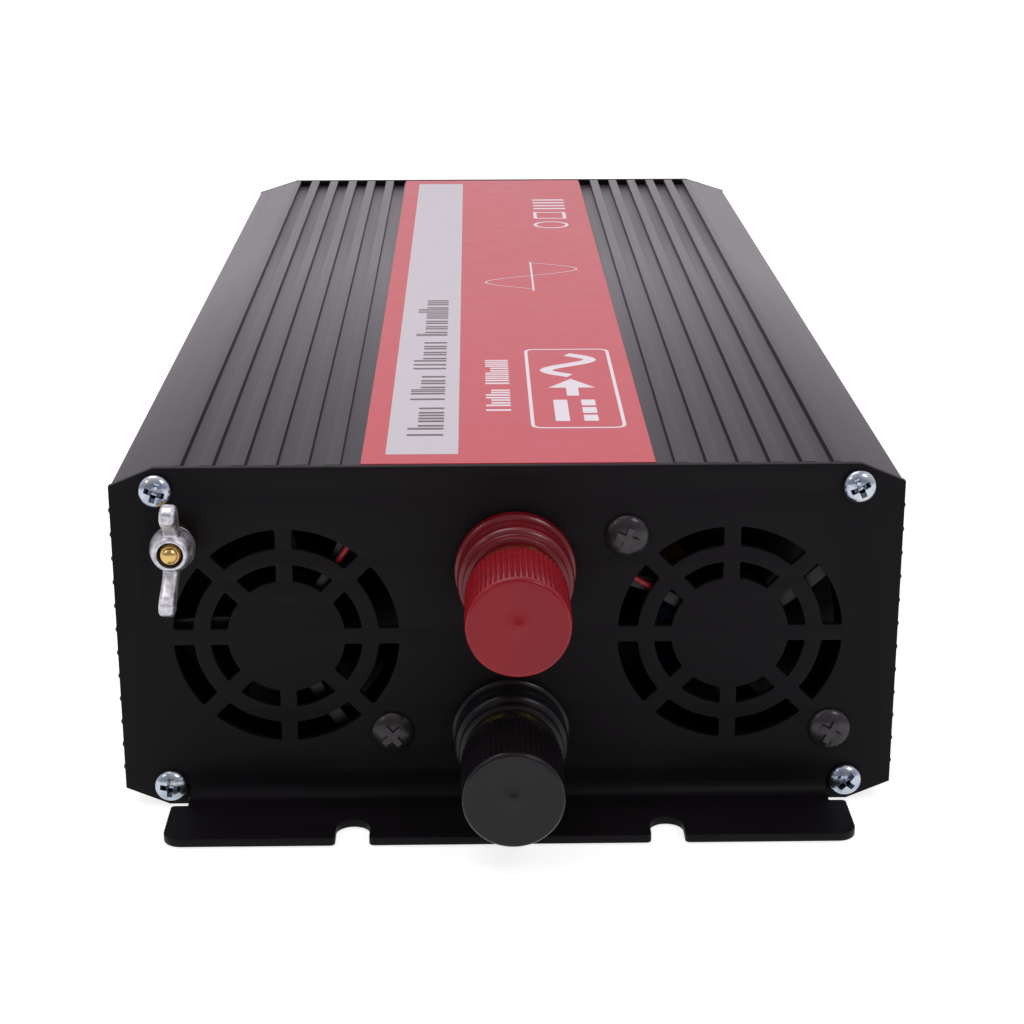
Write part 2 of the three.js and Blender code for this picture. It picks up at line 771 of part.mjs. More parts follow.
// --- Assembly ----------------------------------------------------------------------------------

addNode("top_shell", topShell(), finishes.anodised);
addNode("bottom_shell", bottomShell(), finishes.anodised);
addNode("front_plate", frontPlate(), finishes.blackPaint);
addNode("rear_plate", rearPlate(), finishes.blackPaint);

const labelBottom = plateHeight - label.thickness;
const labelSheet = box(label.left, label.front, labelBottom, label.right, label.back, plateHeight);
addNode("rating_label", labelSheet, finishes.redVinyl);

function addCornerScrews() {
  let number = 1;
  for (const z of [cornerScrew.topZ, cornerScrew.lowZ])
    for (const side of [-1, 1]) {
      const x = side * cornerScrew.x;
      addNode(`front_screw_${number}`, domedScrew(cornerScrew).translate(x, 0, z), finishes.zinc);
      const rear = domedScrew(cornerScrew).rotateZ(Math.PI).translate(x, caseLength, z);
      addNode(`rear_screw_${number}`, rear, finishes.zinc);
      number += 1;
    }
}
addCornerScrews();

function addFan(side, x) {
  const angles = strutAngles[side];
  const group = new THREE.Group();
  group.position.set(x, fanFront, fan.z);
  inverter.add(group);
  group.add(addNode(`fan_frame_${side}`, fanFrame(angles, side === "left"), finishes.blackPlastic));
  group.add(addNode(`fan_rotor_${side}`, fanRotor(), finishes.blackPlastic));
  group.add(addNode(`fan_lead_${side}`, fanLead(angles[0]), finishes.redWire));
}
addFan("left", -fan.x);
addFan("right", fan.x);
fanScrewPlaces.forEach(([x, z], i) => {
  addNode(`fan_screw_${i + 1}`, domedScrew(fanScrew).translate(x, 0, z), finishes.blackSteel);
});

function addEarthStud() {
  const group = new THREE.Group();
  group.position.set(earth.x, 0, earth.z);
  inverter.add(group);
  const headFront = fanFront + fan.depth + gap;
  const shank = cylinderY(0, 0, earth.stud, earth.front, headFront + 1, 12);
  const head = alongY(hexagon(earthNut.acrossFlats), headFront, headFront + earth.headHeight);
  const lockNut = nut(earthNut.acrossFlats, earth.bore, earthNut.front, -gap);
  const washer = ringY(earthWasher.radius, earth.bore, earthWasher.front, earthWasher.back, 16);
  group.add(addNode("ground_stud", join(shank, head), finishes.brass));
  group.add(addNode("ground_nut", lockNut, finishes.brass));
  group.add(addNode("ground_washer", washer, finishes.zinc));
  group.add(addNode("wing_nut", wingNut(), finishes.zinc));
}
addEarthStud();

function addPost(colour, plastic, busbarPlace) {
  const group = new THREE.Group();
  group.position.set(post[colour].x, 0, post[colour].z);
  inverter.add(group);
  const nutFront = sheet + gap + insulator.thickness + gap + busbar.thickness + gap;
  const nutBack = nutFront + postNut.height;
  const studFront = postCap.front + postCap.roof + 0.8;
  const stud = cylinderY(0, 0, post.stud, studFront, nutBack + postNut.studEnd);
  const ring = ringY(clampRing.radius, post.bore, clampRing.front, clampRing.back);
  const clampNut = nut(postNut.acrossFlats, post.bore, nutFront, nutBack);
  group.add(addNode(`${colour}_post_base`, postBaseShape(), plastic));
  group.add(addNode(`${colour}_insulator`, postInsulator(), plastic));
  group.add(addNode(`${colour}_post_stud`, stud, finishes.brass));
  group.add(addNode(`${colour}_clamp_ring`, ring, finishes.brass));
  group.add(addNode(`${colour}_cap`, postCapShape(), plastic));
  group.add(addNode(`${colour}_post_nut`, clampNut, finishes.zinc));
  addNode(`${colour}_busbar`, busbarShape(post[colour], busbarPlace), finishes.copper);
}
addPost("red", finishes.redPlastic, redBusbar);
addPost("black", finishes.blackPlastic, blackBusbar);

function addBoards() {
  const { halfWidth, bottom, front, back } = board;
  addNode("main_board", box(-halfWidth, front, bottom, halfWidth, back, boardTop), finishes.circuit);
  const low = floorTop + gap;
  const card = box(
    -sheetUnder.halfWidth, sheetUnder.front, low,
    sheetUnder.halfWidth, sheetUnder.back, low + sheetUnder.thickness,
  );
  addNode("insulating_sheet", card, finishes.card);
  const { x, thickness } = driver;
  const driverBoard = box(x, driver.front, seat, x + thickness, driver.back, seat + driver.height);
  addNode("driver_board", driverBoard, finishes.circuit);
}
addBoards();

// The heat bars lie against the side walls, just above the board.
function addBoardParts(side, sign) {
  const x = sign * transformer.x;
  addNode(`transformer_core_${side}`, transformerCore(x, transformer.y), finishes.ferrite);
  addNode(`transformer_winding_${side}`, transformerWinding(x, transformer.y), finishes.tape);
  const barX = [sign * heatBar.inner, sign * board.halfWidth].sort((a, b) => a - b);
  const bar = box(barX[0], heatBar.front, heatBar.bottom, barX[1], heatBar.back, heatBar.top);
  addNode(`heat_bar_${side}`, bar, finishes.barMetal);
  const { halfWidth, front, back, height } = fuse;
  const fuseX = sign * fuse.x;
  const body = box(fuseX - halfWidth, front, seat, fuseX + halfWidth, back, seat + height);
  addNode(`fuse_${side}`, body, finishes.fuseBody);
}
addBoardParts("left", -1);
addBoardParts("right", 1);

capacitor.y.forEach((y, i) => {
  const can = uprightCan(capacitor.x, y, capacitor.radius, capacitor.height);
  addNode(`bus_capacitor_${i + 1}`, can, finishes.sleeve);
});
addNode("output_choke", chokeRing(), finishes.copper);

socket.x.forEach((x, i) => {
  const name = i ? "mains_socket_inner" : "mains_socket_outer";
  addNode(name, mainsSocket().translate(x, 0, socket.z), finishes.blackPlastic);
});
addNode("switch_housing", switchHousing().translate(rocker.x, 0, rocker.z), finishes.blackPlastic);
const rockerMesh = addNode("switch_rocker", switchRocker(), finishes.redPlastic);
rockerMesh.position.set(rocker.x, caseLength - rockerKey.pivot, rocker.z);
addNode("power_light", indicator().translate(light.x[0], 0, light.z), finishes.greenLens);
addNode("fault_light", indicator().translate(light.x[1], 0, light.z), finishes.redLens);

inverter.position.y = -(postCap.front + caseLength + flange.reach) / 2;

export default inverter;
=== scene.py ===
import math

import bmesh
import bpy
from mathutils import Matrix, Vector


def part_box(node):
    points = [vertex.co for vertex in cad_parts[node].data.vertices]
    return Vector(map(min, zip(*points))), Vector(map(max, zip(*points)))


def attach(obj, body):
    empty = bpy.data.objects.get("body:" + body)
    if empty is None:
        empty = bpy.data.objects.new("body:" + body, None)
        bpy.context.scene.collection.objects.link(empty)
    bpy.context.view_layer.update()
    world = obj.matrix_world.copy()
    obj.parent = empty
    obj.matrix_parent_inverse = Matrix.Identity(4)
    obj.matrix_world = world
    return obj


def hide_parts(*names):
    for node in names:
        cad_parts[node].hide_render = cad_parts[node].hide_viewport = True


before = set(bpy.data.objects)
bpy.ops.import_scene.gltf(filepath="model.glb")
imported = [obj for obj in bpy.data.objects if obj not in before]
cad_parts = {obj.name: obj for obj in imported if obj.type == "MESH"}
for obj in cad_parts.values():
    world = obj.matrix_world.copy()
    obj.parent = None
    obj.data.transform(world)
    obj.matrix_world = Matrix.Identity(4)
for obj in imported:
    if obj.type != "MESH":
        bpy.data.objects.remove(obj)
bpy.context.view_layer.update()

# Meshes are drawn in millimetres in the case's own axes: X across, Y from the outer face of the
# front plate to the rear, Z up from the ground. They are scaled and moved into the frame when placed.
MM = 0.001
SHEET = 2.0
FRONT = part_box("front_plate")[1].y / MM - SHEET
CASE_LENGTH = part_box("rear_plate")[0].y / MM + SHEET - FRONT
CASE_TO_FRAME = Matrix.Scale(MM, 4) @ Matrix.Translation((0, FRONT, 0))


def case_box(node):
    """The lowest and highest corners of a CAD node, in the case's millimetres."""
    low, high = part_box(node)
    shift = Vector((0, FRONT, 0))
    return low / MM - shift, high / MM - shift


def case_centre(node):
    low, high = case_box(node)
    return (low + high) / 2


# --- Camera, floor and light -------------------------------------------------------------------

CAMERA_AT = (-7.8, -488.2, 236.2)
CAMERA_PITCH = 0.3194
CAMERA_YAW = 0.0178
CAMERA_ROLL = 0.0016
LENS = 76.92
SENSOR = 36.0
CLIP = (0.01, 30)

# The world runs from dim to bright along this direction.
WORLD_BRIGHT_SIDE = (0.13, 0.94, 0.32)
WORLD_DIM = 0.30
WORLD_BRIGHT = 0.93
WORLD_FADE = (-0.8, 0.3)
WORLD_COLOR = (1.0, 0.94, 1.0)

# Lamps in metres: where each is, what it points at, its size, and its power in watts.
LAMP_COLOR = (1.0, 0.97, 1.0)
LAMPS = {
    "key_above": ((-0.35, 0.1, 1.3), (0, 0, 0.05), (0.9, 0.7), 5),
    "softbox_right": ((0.62, -0.85, 0.95), (0, -0.2, 0.05), (0.30, 0.30), 2.6),
    "softbox_left": ((-0.75, -0.7, 0.75), (0, -0.2, 0.05), (0.12, 0.16), 0.7),
}


def add_camera():
    data = bpy.data.cameras.new("camera")
    data.lens = LENS
    data.sensor_width = SENSOR
    data.clip_start, data.clip_end = CLIP
    camera = bpy.data.objects.new("camera", data)
    turn = Matrix.Rotation(-CAMERA_YAW, 4, "Z") @ Matrix.Rotation(math.pi / 2 - CAMERA_PITCH, 4, "X")
    turn = turn @ Matrix.Rotation(-CAMERA_ROLL, 4, "Z")
    camera.matrix_world = Matrix.Translation(CASE_TO_FRAME @ Vector(CAMERA_AT)) @ turn
    bpy.context.scene.collection.objects.link(camera)
    bpy.context.scene.camera = camera


def add_area(name, at, aim, size, power):
    data = bpy.data.lights.new(name, "AREA")
    data.shape = "RECTANGLE"
    data.size, data.size_y = size
    data.energy = power
    data.color = LAMP_COLOR
    lamp = bpy.data.objects.new(name, data)
    lamp.location = at
    lamp.rotation_euler = (Vector(aim) - Vector(at)).to_track_quat("-Z", "Y").to_euler()
    bpy.context.scene.collection.objects.link(lamp)


def add_world():
    """A white studio: bright above and behind the object, dimmer on the side it is seen from."""
    world = bpy.data.worlds.new("studio")
    bpy.context.scene.world = world
    world.use_nodes = True
    nodes, links = world.node_tree.nodes, world.node_tree.links
    background = nodes["Background"]
    coord = nodes.new("ShaderNodeTexCoord")
    toward = nodes.new("ShaderNodeVectorMath")
    toward.operation = "DOT_PRODUCT"
    toward.inputs[1].default_value = WORLD_BRIGHT_SIDE
    links.new(coord.outputs["Generated"], toward.inputs[0])
    depth = nodes.new("ShaderNodeMapRange")
    depth.inputs["From Min"].default_value, depth.inputs["From Max"].default_value = WORLD_FADE
    depth.inputs["To Min"].default_value = WORLD_DIM
    depth.inputs["To Max"].default_value = WORLD_BRIGHT
    links.new(toward.outputs["Value"], depth.inputs["Value"])
    links.new(depth.outputs["Result"], background.inputs["Strength"])
    background.inputs["Color"].default_value = (*WORLD_COLOR, 1)


add_camera()
add_world()
for lamp_name, setting in LAMPS.items():
    add_area(lamp_name, *setting)
view = bpy.context.scene.view_settings
view.view_transform = "Standard"
view.look = "None"


# --- Materials ---------------------------------------------------------------------------------


class Look:
    """A material with a Principled shader and helpers that wire procedural detail into it."""

    def __init__(self, name, color, roughness, metallic=0.0, **constants):
        self.material = bpy.data.materials.new(name)
        self.material.use_nodes = True
        tree = self.material.node_tree
        self.nodes, self.links = tree.nodes, tree.links
        self.shader = self.nodes["Principled BSDF"]
        self.color = color
        self.set("Base Color", (*color, 1))
        self.set("Roughness", roughness)
        self.set("Metallic", metallic)
        for socket, value in constants.items():
            self.set(socket.replace("_", " "), value)
        self.coord = self.nodes.new("ShaderNodeTexCoord").outputs["Object"]
        self.height = None

    def set(self, socket, value):
        self.shader.inputs[socket].default_value = value

    def scaled(self, scale):
        mapping = self.nodes.new("ShaderNodeMapping")
        mapping.inputs["Scale"].default_value = scale
        self.links.new(self.coord, mapping.inputs["Vector"])
        return mapping.outputs["Vector"]

    def noise(self, scale, detail, stretch=(1, 1, 1)):
        texture = self.nodes.new("ShaderNodeTexNoise")
        texture.inputs["Scale"].default_value = scale
        texture.inputs["Detail"].default_value = detail
        texture.inputs["Roughness"].default_value = 0.55
        self.links.new(self.scaled(stretch), texture.inputs["Vector"])
        return texture.outputs["Fac"]

    def ramp(self, value, stops):
        """A value spread over colours: stops are (position, color)."""
        ramp = self.nodes.new("ShaderNodeValToRGB")
        band = ramp.color_ramp
        while len(band.elements) < len(stops):
            band.elements.new(0.5)
        for element, (position, color) in zip(band.elements, stops):
            element.position = position
            element.color = (*color, 1)
        self.links.new(value, ramp.inputs["Fac"])
        return ramp.outputs["Color"]

    def spread(self, value, low, high, start=0.3, end=0.7):
        """A value from low to high, for roughness."""
        node = self.nodes.new("ShaderNodeMapRange")
        node.inputs["From Min"].default_value = start
        node.inputs["From Max"].default_value = end
        node.inputs["To Min"].default_value = low
        node.inputs["To Max"].default_value = high
        self.links.new(value, node.inputs["Value"])
        return node.outputs["Result"]

    def tint(self, value, amount):
        """Varies the base colour lighter and darker by a share of itself."""
        darker = tuple(c * (1 - amount) for c in self.color)
        lighter = tuple(min(1, c * (1 + amount)) for c in self.color)
        self.color_from(self.ramp(value, [(0.3, darker), (0.7, lighter)]))

    def color_from(self, output):
        self.links.new(output, self.shader.inputs["Base Color"])

    def rough_from(self, value, low, high):
        self.links.new(self.spread(value, low, high), self.shader.inputs["Roughness"])

    def bump(self, value, strength, distance):
        node = self.nodes.new("ShaderNodeBump")
        node.inputs["Strength"].default_value = strength
        node.inputs["Distance"].default_value = distance
        self.links.new(value, node.inputs["Height"])
        if self.height is not None:
            self.links.new(self.height, node.inputs["Normal"])
        self.height = node.outputs["Normal"]
        self.links.new(self.height, self.shader.inputs["Normal"])


def surface(name, color, roughness, metallic=0.0, tint=None, stops=None, rough=None, bumps=(), **constants):
    """A material with procedural detail. A noise is (scale, detail) or (scale, detail, stretch).

    tint is (noise, amount), stops is (noise, colours at positions), rough is (noise, lowest, highest)
    and each bump is (noise, strength, distance).
    """
    look = Look(name, color, roughness, metallic, **constants)
    if tint:
        look.tint(look.noise(*tint[0]), tint[1])
    if stops:
        look.color_from(look.ramp(look.noise(*stops[0]), stops[1]))
    if rough:
        look.rough_from(look.noise(*rough[0]), *rough[1:])
    for grain, strength, distance in bumps:
        look.bump(look.noise(*grain), strength, distance)
    return look.material


def turned_metal(name, color):
    return surface(
        name, color, 0.25, 1.0,
        tint=((380, 3), 0.15),
        rough=((700, 3, (1, 6, 1)), 0.18, 0.34),
        bumps=[((600, 2, (0.3, 8, 0.3)), 0.1, 0.00005)],
    )


def moulded_plastic(name, color, roughness, grain=0.1, specular=0.5):
    return surface(
        name, color, roughness, Specular_IOR_Level=specular,
        tint=((60, 3), 0.12),
        rough=((60, 3), roughness - 0.05, roughness + 0.07),
        bumps=[((1400, 3), grain, 0.00006)],
    )


def printed_vinyl(name, color):
    return surface(
        name, color, 0.34,
        tint=((90, 2), 0.012),
        rough=((120, 2), 0.32, 0.35),
        bumps=[((25, 2), 0.03, 0.0003), ((2400, 2), 0.03, 0.00004)],
    )


def coloured_lens(name, color):
    return surface(
        name, color, 0.12, Transmission_Weight=0.35, IOR=1.49,
        tint=((300, 2), 0.15),
        bumps=[((900, 2), 0.04, 0.00005)],
    )


DRAW_LINES = (1500, 2, (1, 0.008, 1))
ANODISED = surface(
    "anodised_aluminium", (0.034, 0.0272, 0.0345), 0.31, Specular_IOR_Level=0.34,
    tint=((14, 3, (1, 0.35, 1)), 0.14),
    rough=(DRAW_LINES, 0.30, 0.33),
    bumps=[(DRAW_LINES, 0.03, 0.00006), ((2600, 2), 0.12, 0.00008)],
)
POWDER = surface(
    "black_powder_coat", (0.0038, 0.0029, 0.0039), 0.5, Specular_IOR_Level=0.11,
    tint=((18, 4), 0.22),
    rough=((18, 4), 0.46, 0.6),
    bumps=[((900, 3), 0.12, 0.00012), ((3200, 2), 0.08, 0.00005)],
)
ZINC = surface(
    "zinc_plate", (0.44, 0.49, 0.56), 0.2, 1.0,
    stops=((420, 3), [(0.35, (0.32, 0.38, 0.47)), (0.55, (0.46, 0.52, 0.60)), (0.72, (0.54, 0.53, 0.49))]),
    rough=((900, 3), 0.16, 0.28),
    bumps=[((900, 2), 0.25, 0.0001)],
)
OXIDE = surface(
    "black_oxide_steel", (0.034, 0.031, 0.034), 0.28, 0.6,
    tint=((500, 3), 0.25),
    rough=((900, 3), 0.24, 0.31),
    bumps=[((2500, 2), 0.12, 0.00005)],
)
CAST = surface(
    "cast_zinc", (0.50, 0.50, 0.53), 0.36, 0.9,
    stops=((520, 4), [(0.3, (0.30, 0.30, 0.32)), (0.5, (0.52, 0.52, 0.55)), (0.7, (0.66, 0.66, 0.70))]),
    rough=((520, 4), 0.24, 0.5),
    bumps=[((520, 4), 0.35, 0.0003), ((1900, 3), 0.2, 0.0001)],
)
TRACES = (240, 1, (1, 0.3, 1))
BOARD = surface(
    "circuit_board", (0.02, 0.11, 0.05), 0.32,
    stops=(TRACES, [(0.46, (0.015, 0.09, 0.04)), (0.5, (0.03, 0.16, 0.07))]),
    bumps=[(TRACES, 0.2, 0.00004)],
)
WRAPS = (260, 2, (0.1, 0.1, 3))
TAPE = surface("polyester_tape", (0.66, 0.46, 0.06), 0.3, tint=(WRAPS, 0.12), bumps=[(WRAPS, 0.3, 0.0002)])
FERRITE = surface(
    "sintered_ferrite", (0.035, 0.034, 0.036), 0.6, tint=((700, 4), 0.3), bumps=[((1500, 4), 0.3, 0.0001)]
)
CARD = surface(
    "pressed_card", (0.62, 0.56, 0.42), 0.85, tint=((400, 5), 0.12), bumps=[((1200, 4), 0.3, 0.0001)]
)
BRASS = turned_metal("turned_brass", (0.60, 0.41, 0.15))
COPPER = turned_metal("bare_copper", (0.72, 0.38, 0.22))
BAR = turned_metal("mill_aluminium", (0.62, 0.63, 0.65))
RED_PLASTIC = moulded_plastic("red_plastic", (0.205, 0.0045, 0.0100), 0.25, 0.05, 0.26)
# A darker copy of the red plastic for the post bases. The darker colour is painted shade, standing in for the
# shade the cap casts on the base. Its lower roughness and higher specular are the surface's own gloss.
RED_PLASTIC_PAINTED_SHADE = moulded_plastic("red_plastic_painted_shade", (0.105, 0.0030, 0.0068), 0.2, 0.05, 0.4)
BLACK_PLASTIC = moulded_plastic("black_plastic", (0.0056, 0.0048, 0.0060), 0.24, 0.05, 0.24)
FAN_PLASTIC = moulded_plastic("fan_plastic", (0.0042, 0.0038, 0.0046), 0.36, 0.1, 0.3)
SOCKET_PLASTIC = moulded_plastic("socket_plastic", (0.014, 0.0138, 0.0145), 0.4)
ROCKER_PLASTIC = moulded_plastic("rocker_plastic", (0.42, 0.014, 0.02), 0.2, 0.03)
WIRE_RED = moulded_plastic("red_insulation", (0.26, 0.0045, 0.012), 0.3, 0.1, 0.4)
SLEEVE = moulded_plastic("capacitor_sleeve", (0.02, 0.03, 0.055), 0.25)
FUSE_BODY = moulded_plastic("fuse_body", (0.04, 0.16, 0.42), 0.18)
LABEL_RED = printed_vinyl("label_red", (0.46, 0.0125, 0.0285))
LABEL_PALE = printed_vinyl("label_pale", (0.475, 0.45, 0.48))
LABEL_WHITE = printed_vinyl("label_white", (0.66, 0.62, 0.65))
LABEL_GREY = printed_vinyl("label_grey", (0.042, 0.038, 0.041))
GREEN_LENS = coloured_lens("green_lens", (0.03, 0.45, 0.12))
RED_LENS = coloured_lens("red_lens", (0.5, 0.02, 0.02))


# --- Mesh helpers ------------------------------------------------------------------------------


def mesh_from(verts, faces, name="drawn"):
    mesh = bpy.data.meshes.new(name)
    mesh.from_pydata([tuple(v) for v in verts], [], faces)
    mesh.validate()
    return mesh


def tidy(mesh, merge=0.002):
    """Merges doubled points, removes slivers and turns all faces outwards."""
    bm = bmesh.new()
    bm.from_mesh(mesh)
    bmesh.ops.remove_doubles(bm, verts=bm.verts, dist=merge)
    bmesh.ops.dissolve_degenerate(bm, edges=bm.edges, dist=merge / 4)
    bmesh.ops.recalc_face_normals(bm, faces=bm.faces)
    bm.to_mesh(mesh)
    bm.free()
    return mesh


def evaluated(obj):
    """The object's mesh with its modifiers or curve settings applied; the object is removed."""
    graph = bpy.context.evaluated_depsgraph_get()
    mesh = bpy.data.meshes.new_from_object(obj.evaluated_get(graph))
    bpy.data.objects.remove(obj)
    return mesh


def loose(mesh):
    obj = bpy.data.objects.new("loose", mesh)
    bpy.context.scene.collection.objects.link(obj)
    return obj


def combine(mesh, tools, operation):
    """A boolean of one mesh with others, in order."""
    obj = loose(mesh)
    others = []
    for tool in tools:
        other = loose(tool)
        others.append(other)
        modifier = obj.modifiers.new("cut", "BOOLEAN")
        modifier.operation = operation
        modifier.solver = "EXACT"
        modifier.object = other
    result = evaluated(obj)
    for other in others:
        bpy.data.objects.remove(other)
    return tidy(result)


def cut(mesh, *tools):
    return combine(mesh, tools, "DIFFERENCE")


def union(mesh, *others):
    return combine(mesh, others, "UNION")


def joined(*meshes):
    """Several separate closed bodies in one mesh."""
    bm = bmesh.new()
    for mesh in meshes:
        bm.from_mesh(mesh)
    result = bpy.data.meshes.new("joined")
    bm.to_mesh(result)
    bm.free()
    return result


def moved(mesh, matrix):
    mesh.transform(matrix)
    if matrix.determinant() < 0:
        mesh.flip_normals()
    return mesh


def shifted(mesh, x=0.0, y=0.0, z=0.0):
    return moved(mesh, Matrix.Translation((x, y, z)))


def turned_about(mesh, axis, degrees):
    return moved(mesh, Matrix.Rotation(math.radians(degrees), 4, axis))


def arc(cx, cy, radius, start, end, steps):
    """Points of an arc between two angles in degrees, both ends included."""
    angles = [math.radians(start + (end - start) * i / steps) for i in range(steps + 1)]
    return [(cx + radius * math.cos(a), cy + radius * math.sin(a)) for a in angles]


def ring_loop(cx, cy, radius, steps=40):
    return arc(cx, cy, radius, 0, 360, steps)[:-1]


def softened(points, radius, steps=4):
    """A closed outline with its corners rounded, each by no more than its edges allow."""
    result = []
    count = len(points)
    for i in range(count):
        before, here, after = (Vector(points[(i + k) % count]) for k in (-1, 0, 1))
        u, v = before - here, after - here
        if u.length < 1e-6 or v.length < 1e-6:
            continue
        angle = u.angle(v)
        reach = radius / math.tan(angle / 2) if angle > 1e-3 else 0
        reach = min(reach, 0.45 * u.length, 0.45 * v.length)
        if math.degrees(angle) > 168 or reach < 1e-3:
            result.append(tuple(here))
            continue
        start, end = here + u.normalized() * reach, here + v.normalized() * reach
        for k in range(steps + 1):
            t = k / steps
            point = start * (1 - t) ** 2 + here * 2 * t * (1 - t) + end * t**2
            result.append(tuple(point))
    return result


def rectangle(x0, y0, x1, y1, radius=0.0, steps=5):
    points = [(x0, y0), (x1, y0), (x1, y1), (x0, y1)]
    return softened(points, radius, steps) if radius else points


def outline_box(x0, y0, x1, y1, radius, width):
    inner = rectangle(x0 + width, y0 + width, x1 - width, y1 - width, radius - width, 8)
    return [rectangle(x0, y0, x1, y1, radius, 8), inner]


def plate_of(loops, thickness, bevel=0.0, steps=2):
    """A flat plate in XY from an outline and its holes, from z = 0 up, with bevelled edges."""
    curve = bpy.data.curves.new("plate", "CURVE")
    curve.dimensions = "2D"
    curve.fill_mode = "BOTH"
    curve.extrude = thickness / 2 - bevel
    curve.bevel_depth = bevel
    curve.offset = -bevel
    curve.bevel_resolution = steps
    for loop in loops:
        spline = curve.splines.new("POLY")
        spline.points.add(len(loop) - 1)
        for point, (x, y) in zip(spline.points, loop):
            point.co = (x, y, 0, 1)
        spline.use_cyclic_u = True
    mesh = evaluated(loose(curve))
    return shifted(tidy(mesh), z=thickness / 2)


XZ_FROM_XY = Matrix(((1, 0, 0, 0), (0, 0, 1, 0), (0, 1, 0, 0), (0, 0, 0, 1)))


def wall_of(loops, y0, y1, bevel=0.0, steps=2):
    """A plate whose outline is given in X and Z, between two depths."""
    mesh = plate_of(loops, y1 - y0, bevel, steps)
    return shifted(moved(mesh, XZ_FROM_XY), y=y0)


def lathe(profile, segments=64, swell=None):
    """A profile of (radius, y) turned about Y. swell(angle, radius, y) may change a radius."""
    verts, rings = [], []
    for radius, y in profile:
        if radius < 1e-6:
            rings.append([len(verts)])
            verts.append((0, y, 0))
            continue
        ring = []
        for i in range(segments):
            angle = 2 * math.pi * i / segments
            r = swell(angle, radius, y) if swell else radius
            ring.append(len(verts))
            verts.append((r * math.cos(angle), y, r * math.sin(angle)))
        rings.append(ring)
    faces = []
    pairs = list(zip(rings, rings[1:]))
    if len(rings[0]) > 1:
        pairs.append((rings[-1], rings[0]))
    for a, b in pairs:
        if len(a) == 1 and len(b) == 1:
            continue
        for i in range(segments):
            j = (i + 1) % segments
            corners = [a[i % len(a)], a[j % len(a)], b[j % len(b)], b[i % len(b)]]
            face = list(dict.fromkeys(corners))
            if len(face) > 2:
                faces.append(face)
    return tidy(mesh_from(verts, faces), 0.0005)


def rod(radius, y0, y1, bevel=0.15, segments=40):
    front = [(0, y0), (radius - bevel, y0), (radius, y0 + bevel)]
    return lathe([*front, (radius, y1 - bevel), (radius - bevel, y1), (0, y1)], segments)


def tube(outer, inner, y0, y1, bevel=0.2, segments=64):
    return lathe(
        [
            (inner + bevel, y0), (outer - bevel, y0), (outer, y0 + bevel), (outer, y1 - bevel),
            (outer - bevel, y1), (inner + bevel, y1), (inner, y1 - bevel), (inner, y0 + bevel),
        ],
        segments,
    )


def brick(low, high, bevel=0.3, steps=2):
    """A box between two corners with rounded edges."""
    low, high = Vector(low), Vector(high)
    bm = bmesh.new()
    bmesh.ops.create_cube(bm, size=1)
    bmesh.ops.scale(bm, vec=high - low, verts=bm.verts)
    bmesh.ops.translate(bm, vec=(low + high) / 2, verts=bm.verts)
    if bevel:
        bmesh.ops.bevel(bm, geom=bm.edges, offset=bevel, segments=steps, affect="EDGES", profile=0.5)
    mesh = bpy.data.meshes.new("brick")
    bm.to_mesh(mesh)
    bm.free()
    return mesh


def sweep(route, radius, sides=14):
    """A round wire along a list of points, with closed ends."""
    points = [Vector(p) for p in route]
    verts, faces = [], []
    normal = Vector((0, 0, 1))
    for i, point in enumerate(points):
        ahead = points[min(i + 1, len(points) - 1)] - points[max(i - 1, 0)]
        tangent = ahead.normalized()
        normal = (normal - tangent * normal.dot(tangent)).normalized()
        side = tangent.cross(normal)
        for k in range(sides):
            angle = 2 * math.pi * k / sides
            verts.append(point + (normal * math.cos(angle) + side * math.sin(angle)) * radius)
    for i in range(len(points) - 1):
        for k in range(sides):
            a, b = i * sides + k, i * sides + (k + 1) % sides
            faces.append((a, b, b + sides, a + sides))
    faces.append(tuple(range(sides))[::-1])
    faces.append(tuple(range((len(points) - 1) * sides, len(points) * sides)))
    return tidy(mesh_from(verts, faces), 0.0005)


def smooth_route(points, steps=8):
    """A Catmull-Rom curve through the points."""
    points = [Vector(p) for p in points]
    ends = [points[0] * 2 - points[1], *points, points[-1] * 2 - points[-2]]
    route = []
    for p0, p1, p2, p3 in zip(ends, ends[1:], ends[2:], ends[3:]):
        for k in range(steps):
            t = k / steps
            route.append(
                0.5 * (2 * p1 + (p2 - p0) * t + (2 * p0 - 5 * p1 + 4 * p2 - p3) * t**2
                       + (3 * p1 - p0 - 3 * p2 + p3) * t**3)
            )
    return [*route, points[-1]]


def shade(mesh, angle=32.0):
    """Smooth faces, with edges sharper than the angle left crisp."""
    bm = bmesh.new()
    bm.from_mesh(mesh)
    limit = math.radians(angle)
    for edge in bm.edges:
        edge.smooth = len(edge.link_faces) == 2 and edge.calc_face_angle(0) < limit
    for face in bm.faces:
        face.smooth = True
    bm.to_mesh(mesh)
    bm.free()


def place(name, mesh, material, body, at=(0, 0, 0), replaces=(), angle=32.0):
    """Moves a drawn mesh into the frame and makes it a piece of the object."""
    mesh.transform(CASE_TO_FRAME @ Matrix.Translation(at))
    shade(mesh, angle)
    mesh.materials.clear()
    mesh.materials.append(material)
    mesh.name = name
    obj = bpy.data.objects.new(name, mesh)
    bpy.context.scene.collection.objects.link(obj)
    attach(obj, body)
    if replaces:
        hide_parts(*replaces)
    return obj


# --- Extruded shells ---------------------------------------------------------------------------

WALL_X = 93.2
INNER_X = 90.7
TOP_Z = 86.0
CEILING_Z = 82.0
FLOOR_Z = 3.0
UNDER_Z = 0.5
SEAM_Z = 42.0
RIB_REACH = 94.2
RIB_PITCH = 6.0
LOWEST_RIB = 9.0
RIBS = 12
GROOVE_OUTER = 76.8
GROOVE_PITCH = 7.48
GROOVE_WIDTH = 4.2
GROOVE_DEPTH = 2.0
GROOVES = 6
SCREW_X = 82.5
SCREW_TOP_Z = 80.6
SCREW_LOW_Z = 5.3
SHELL_GAP = 0.3


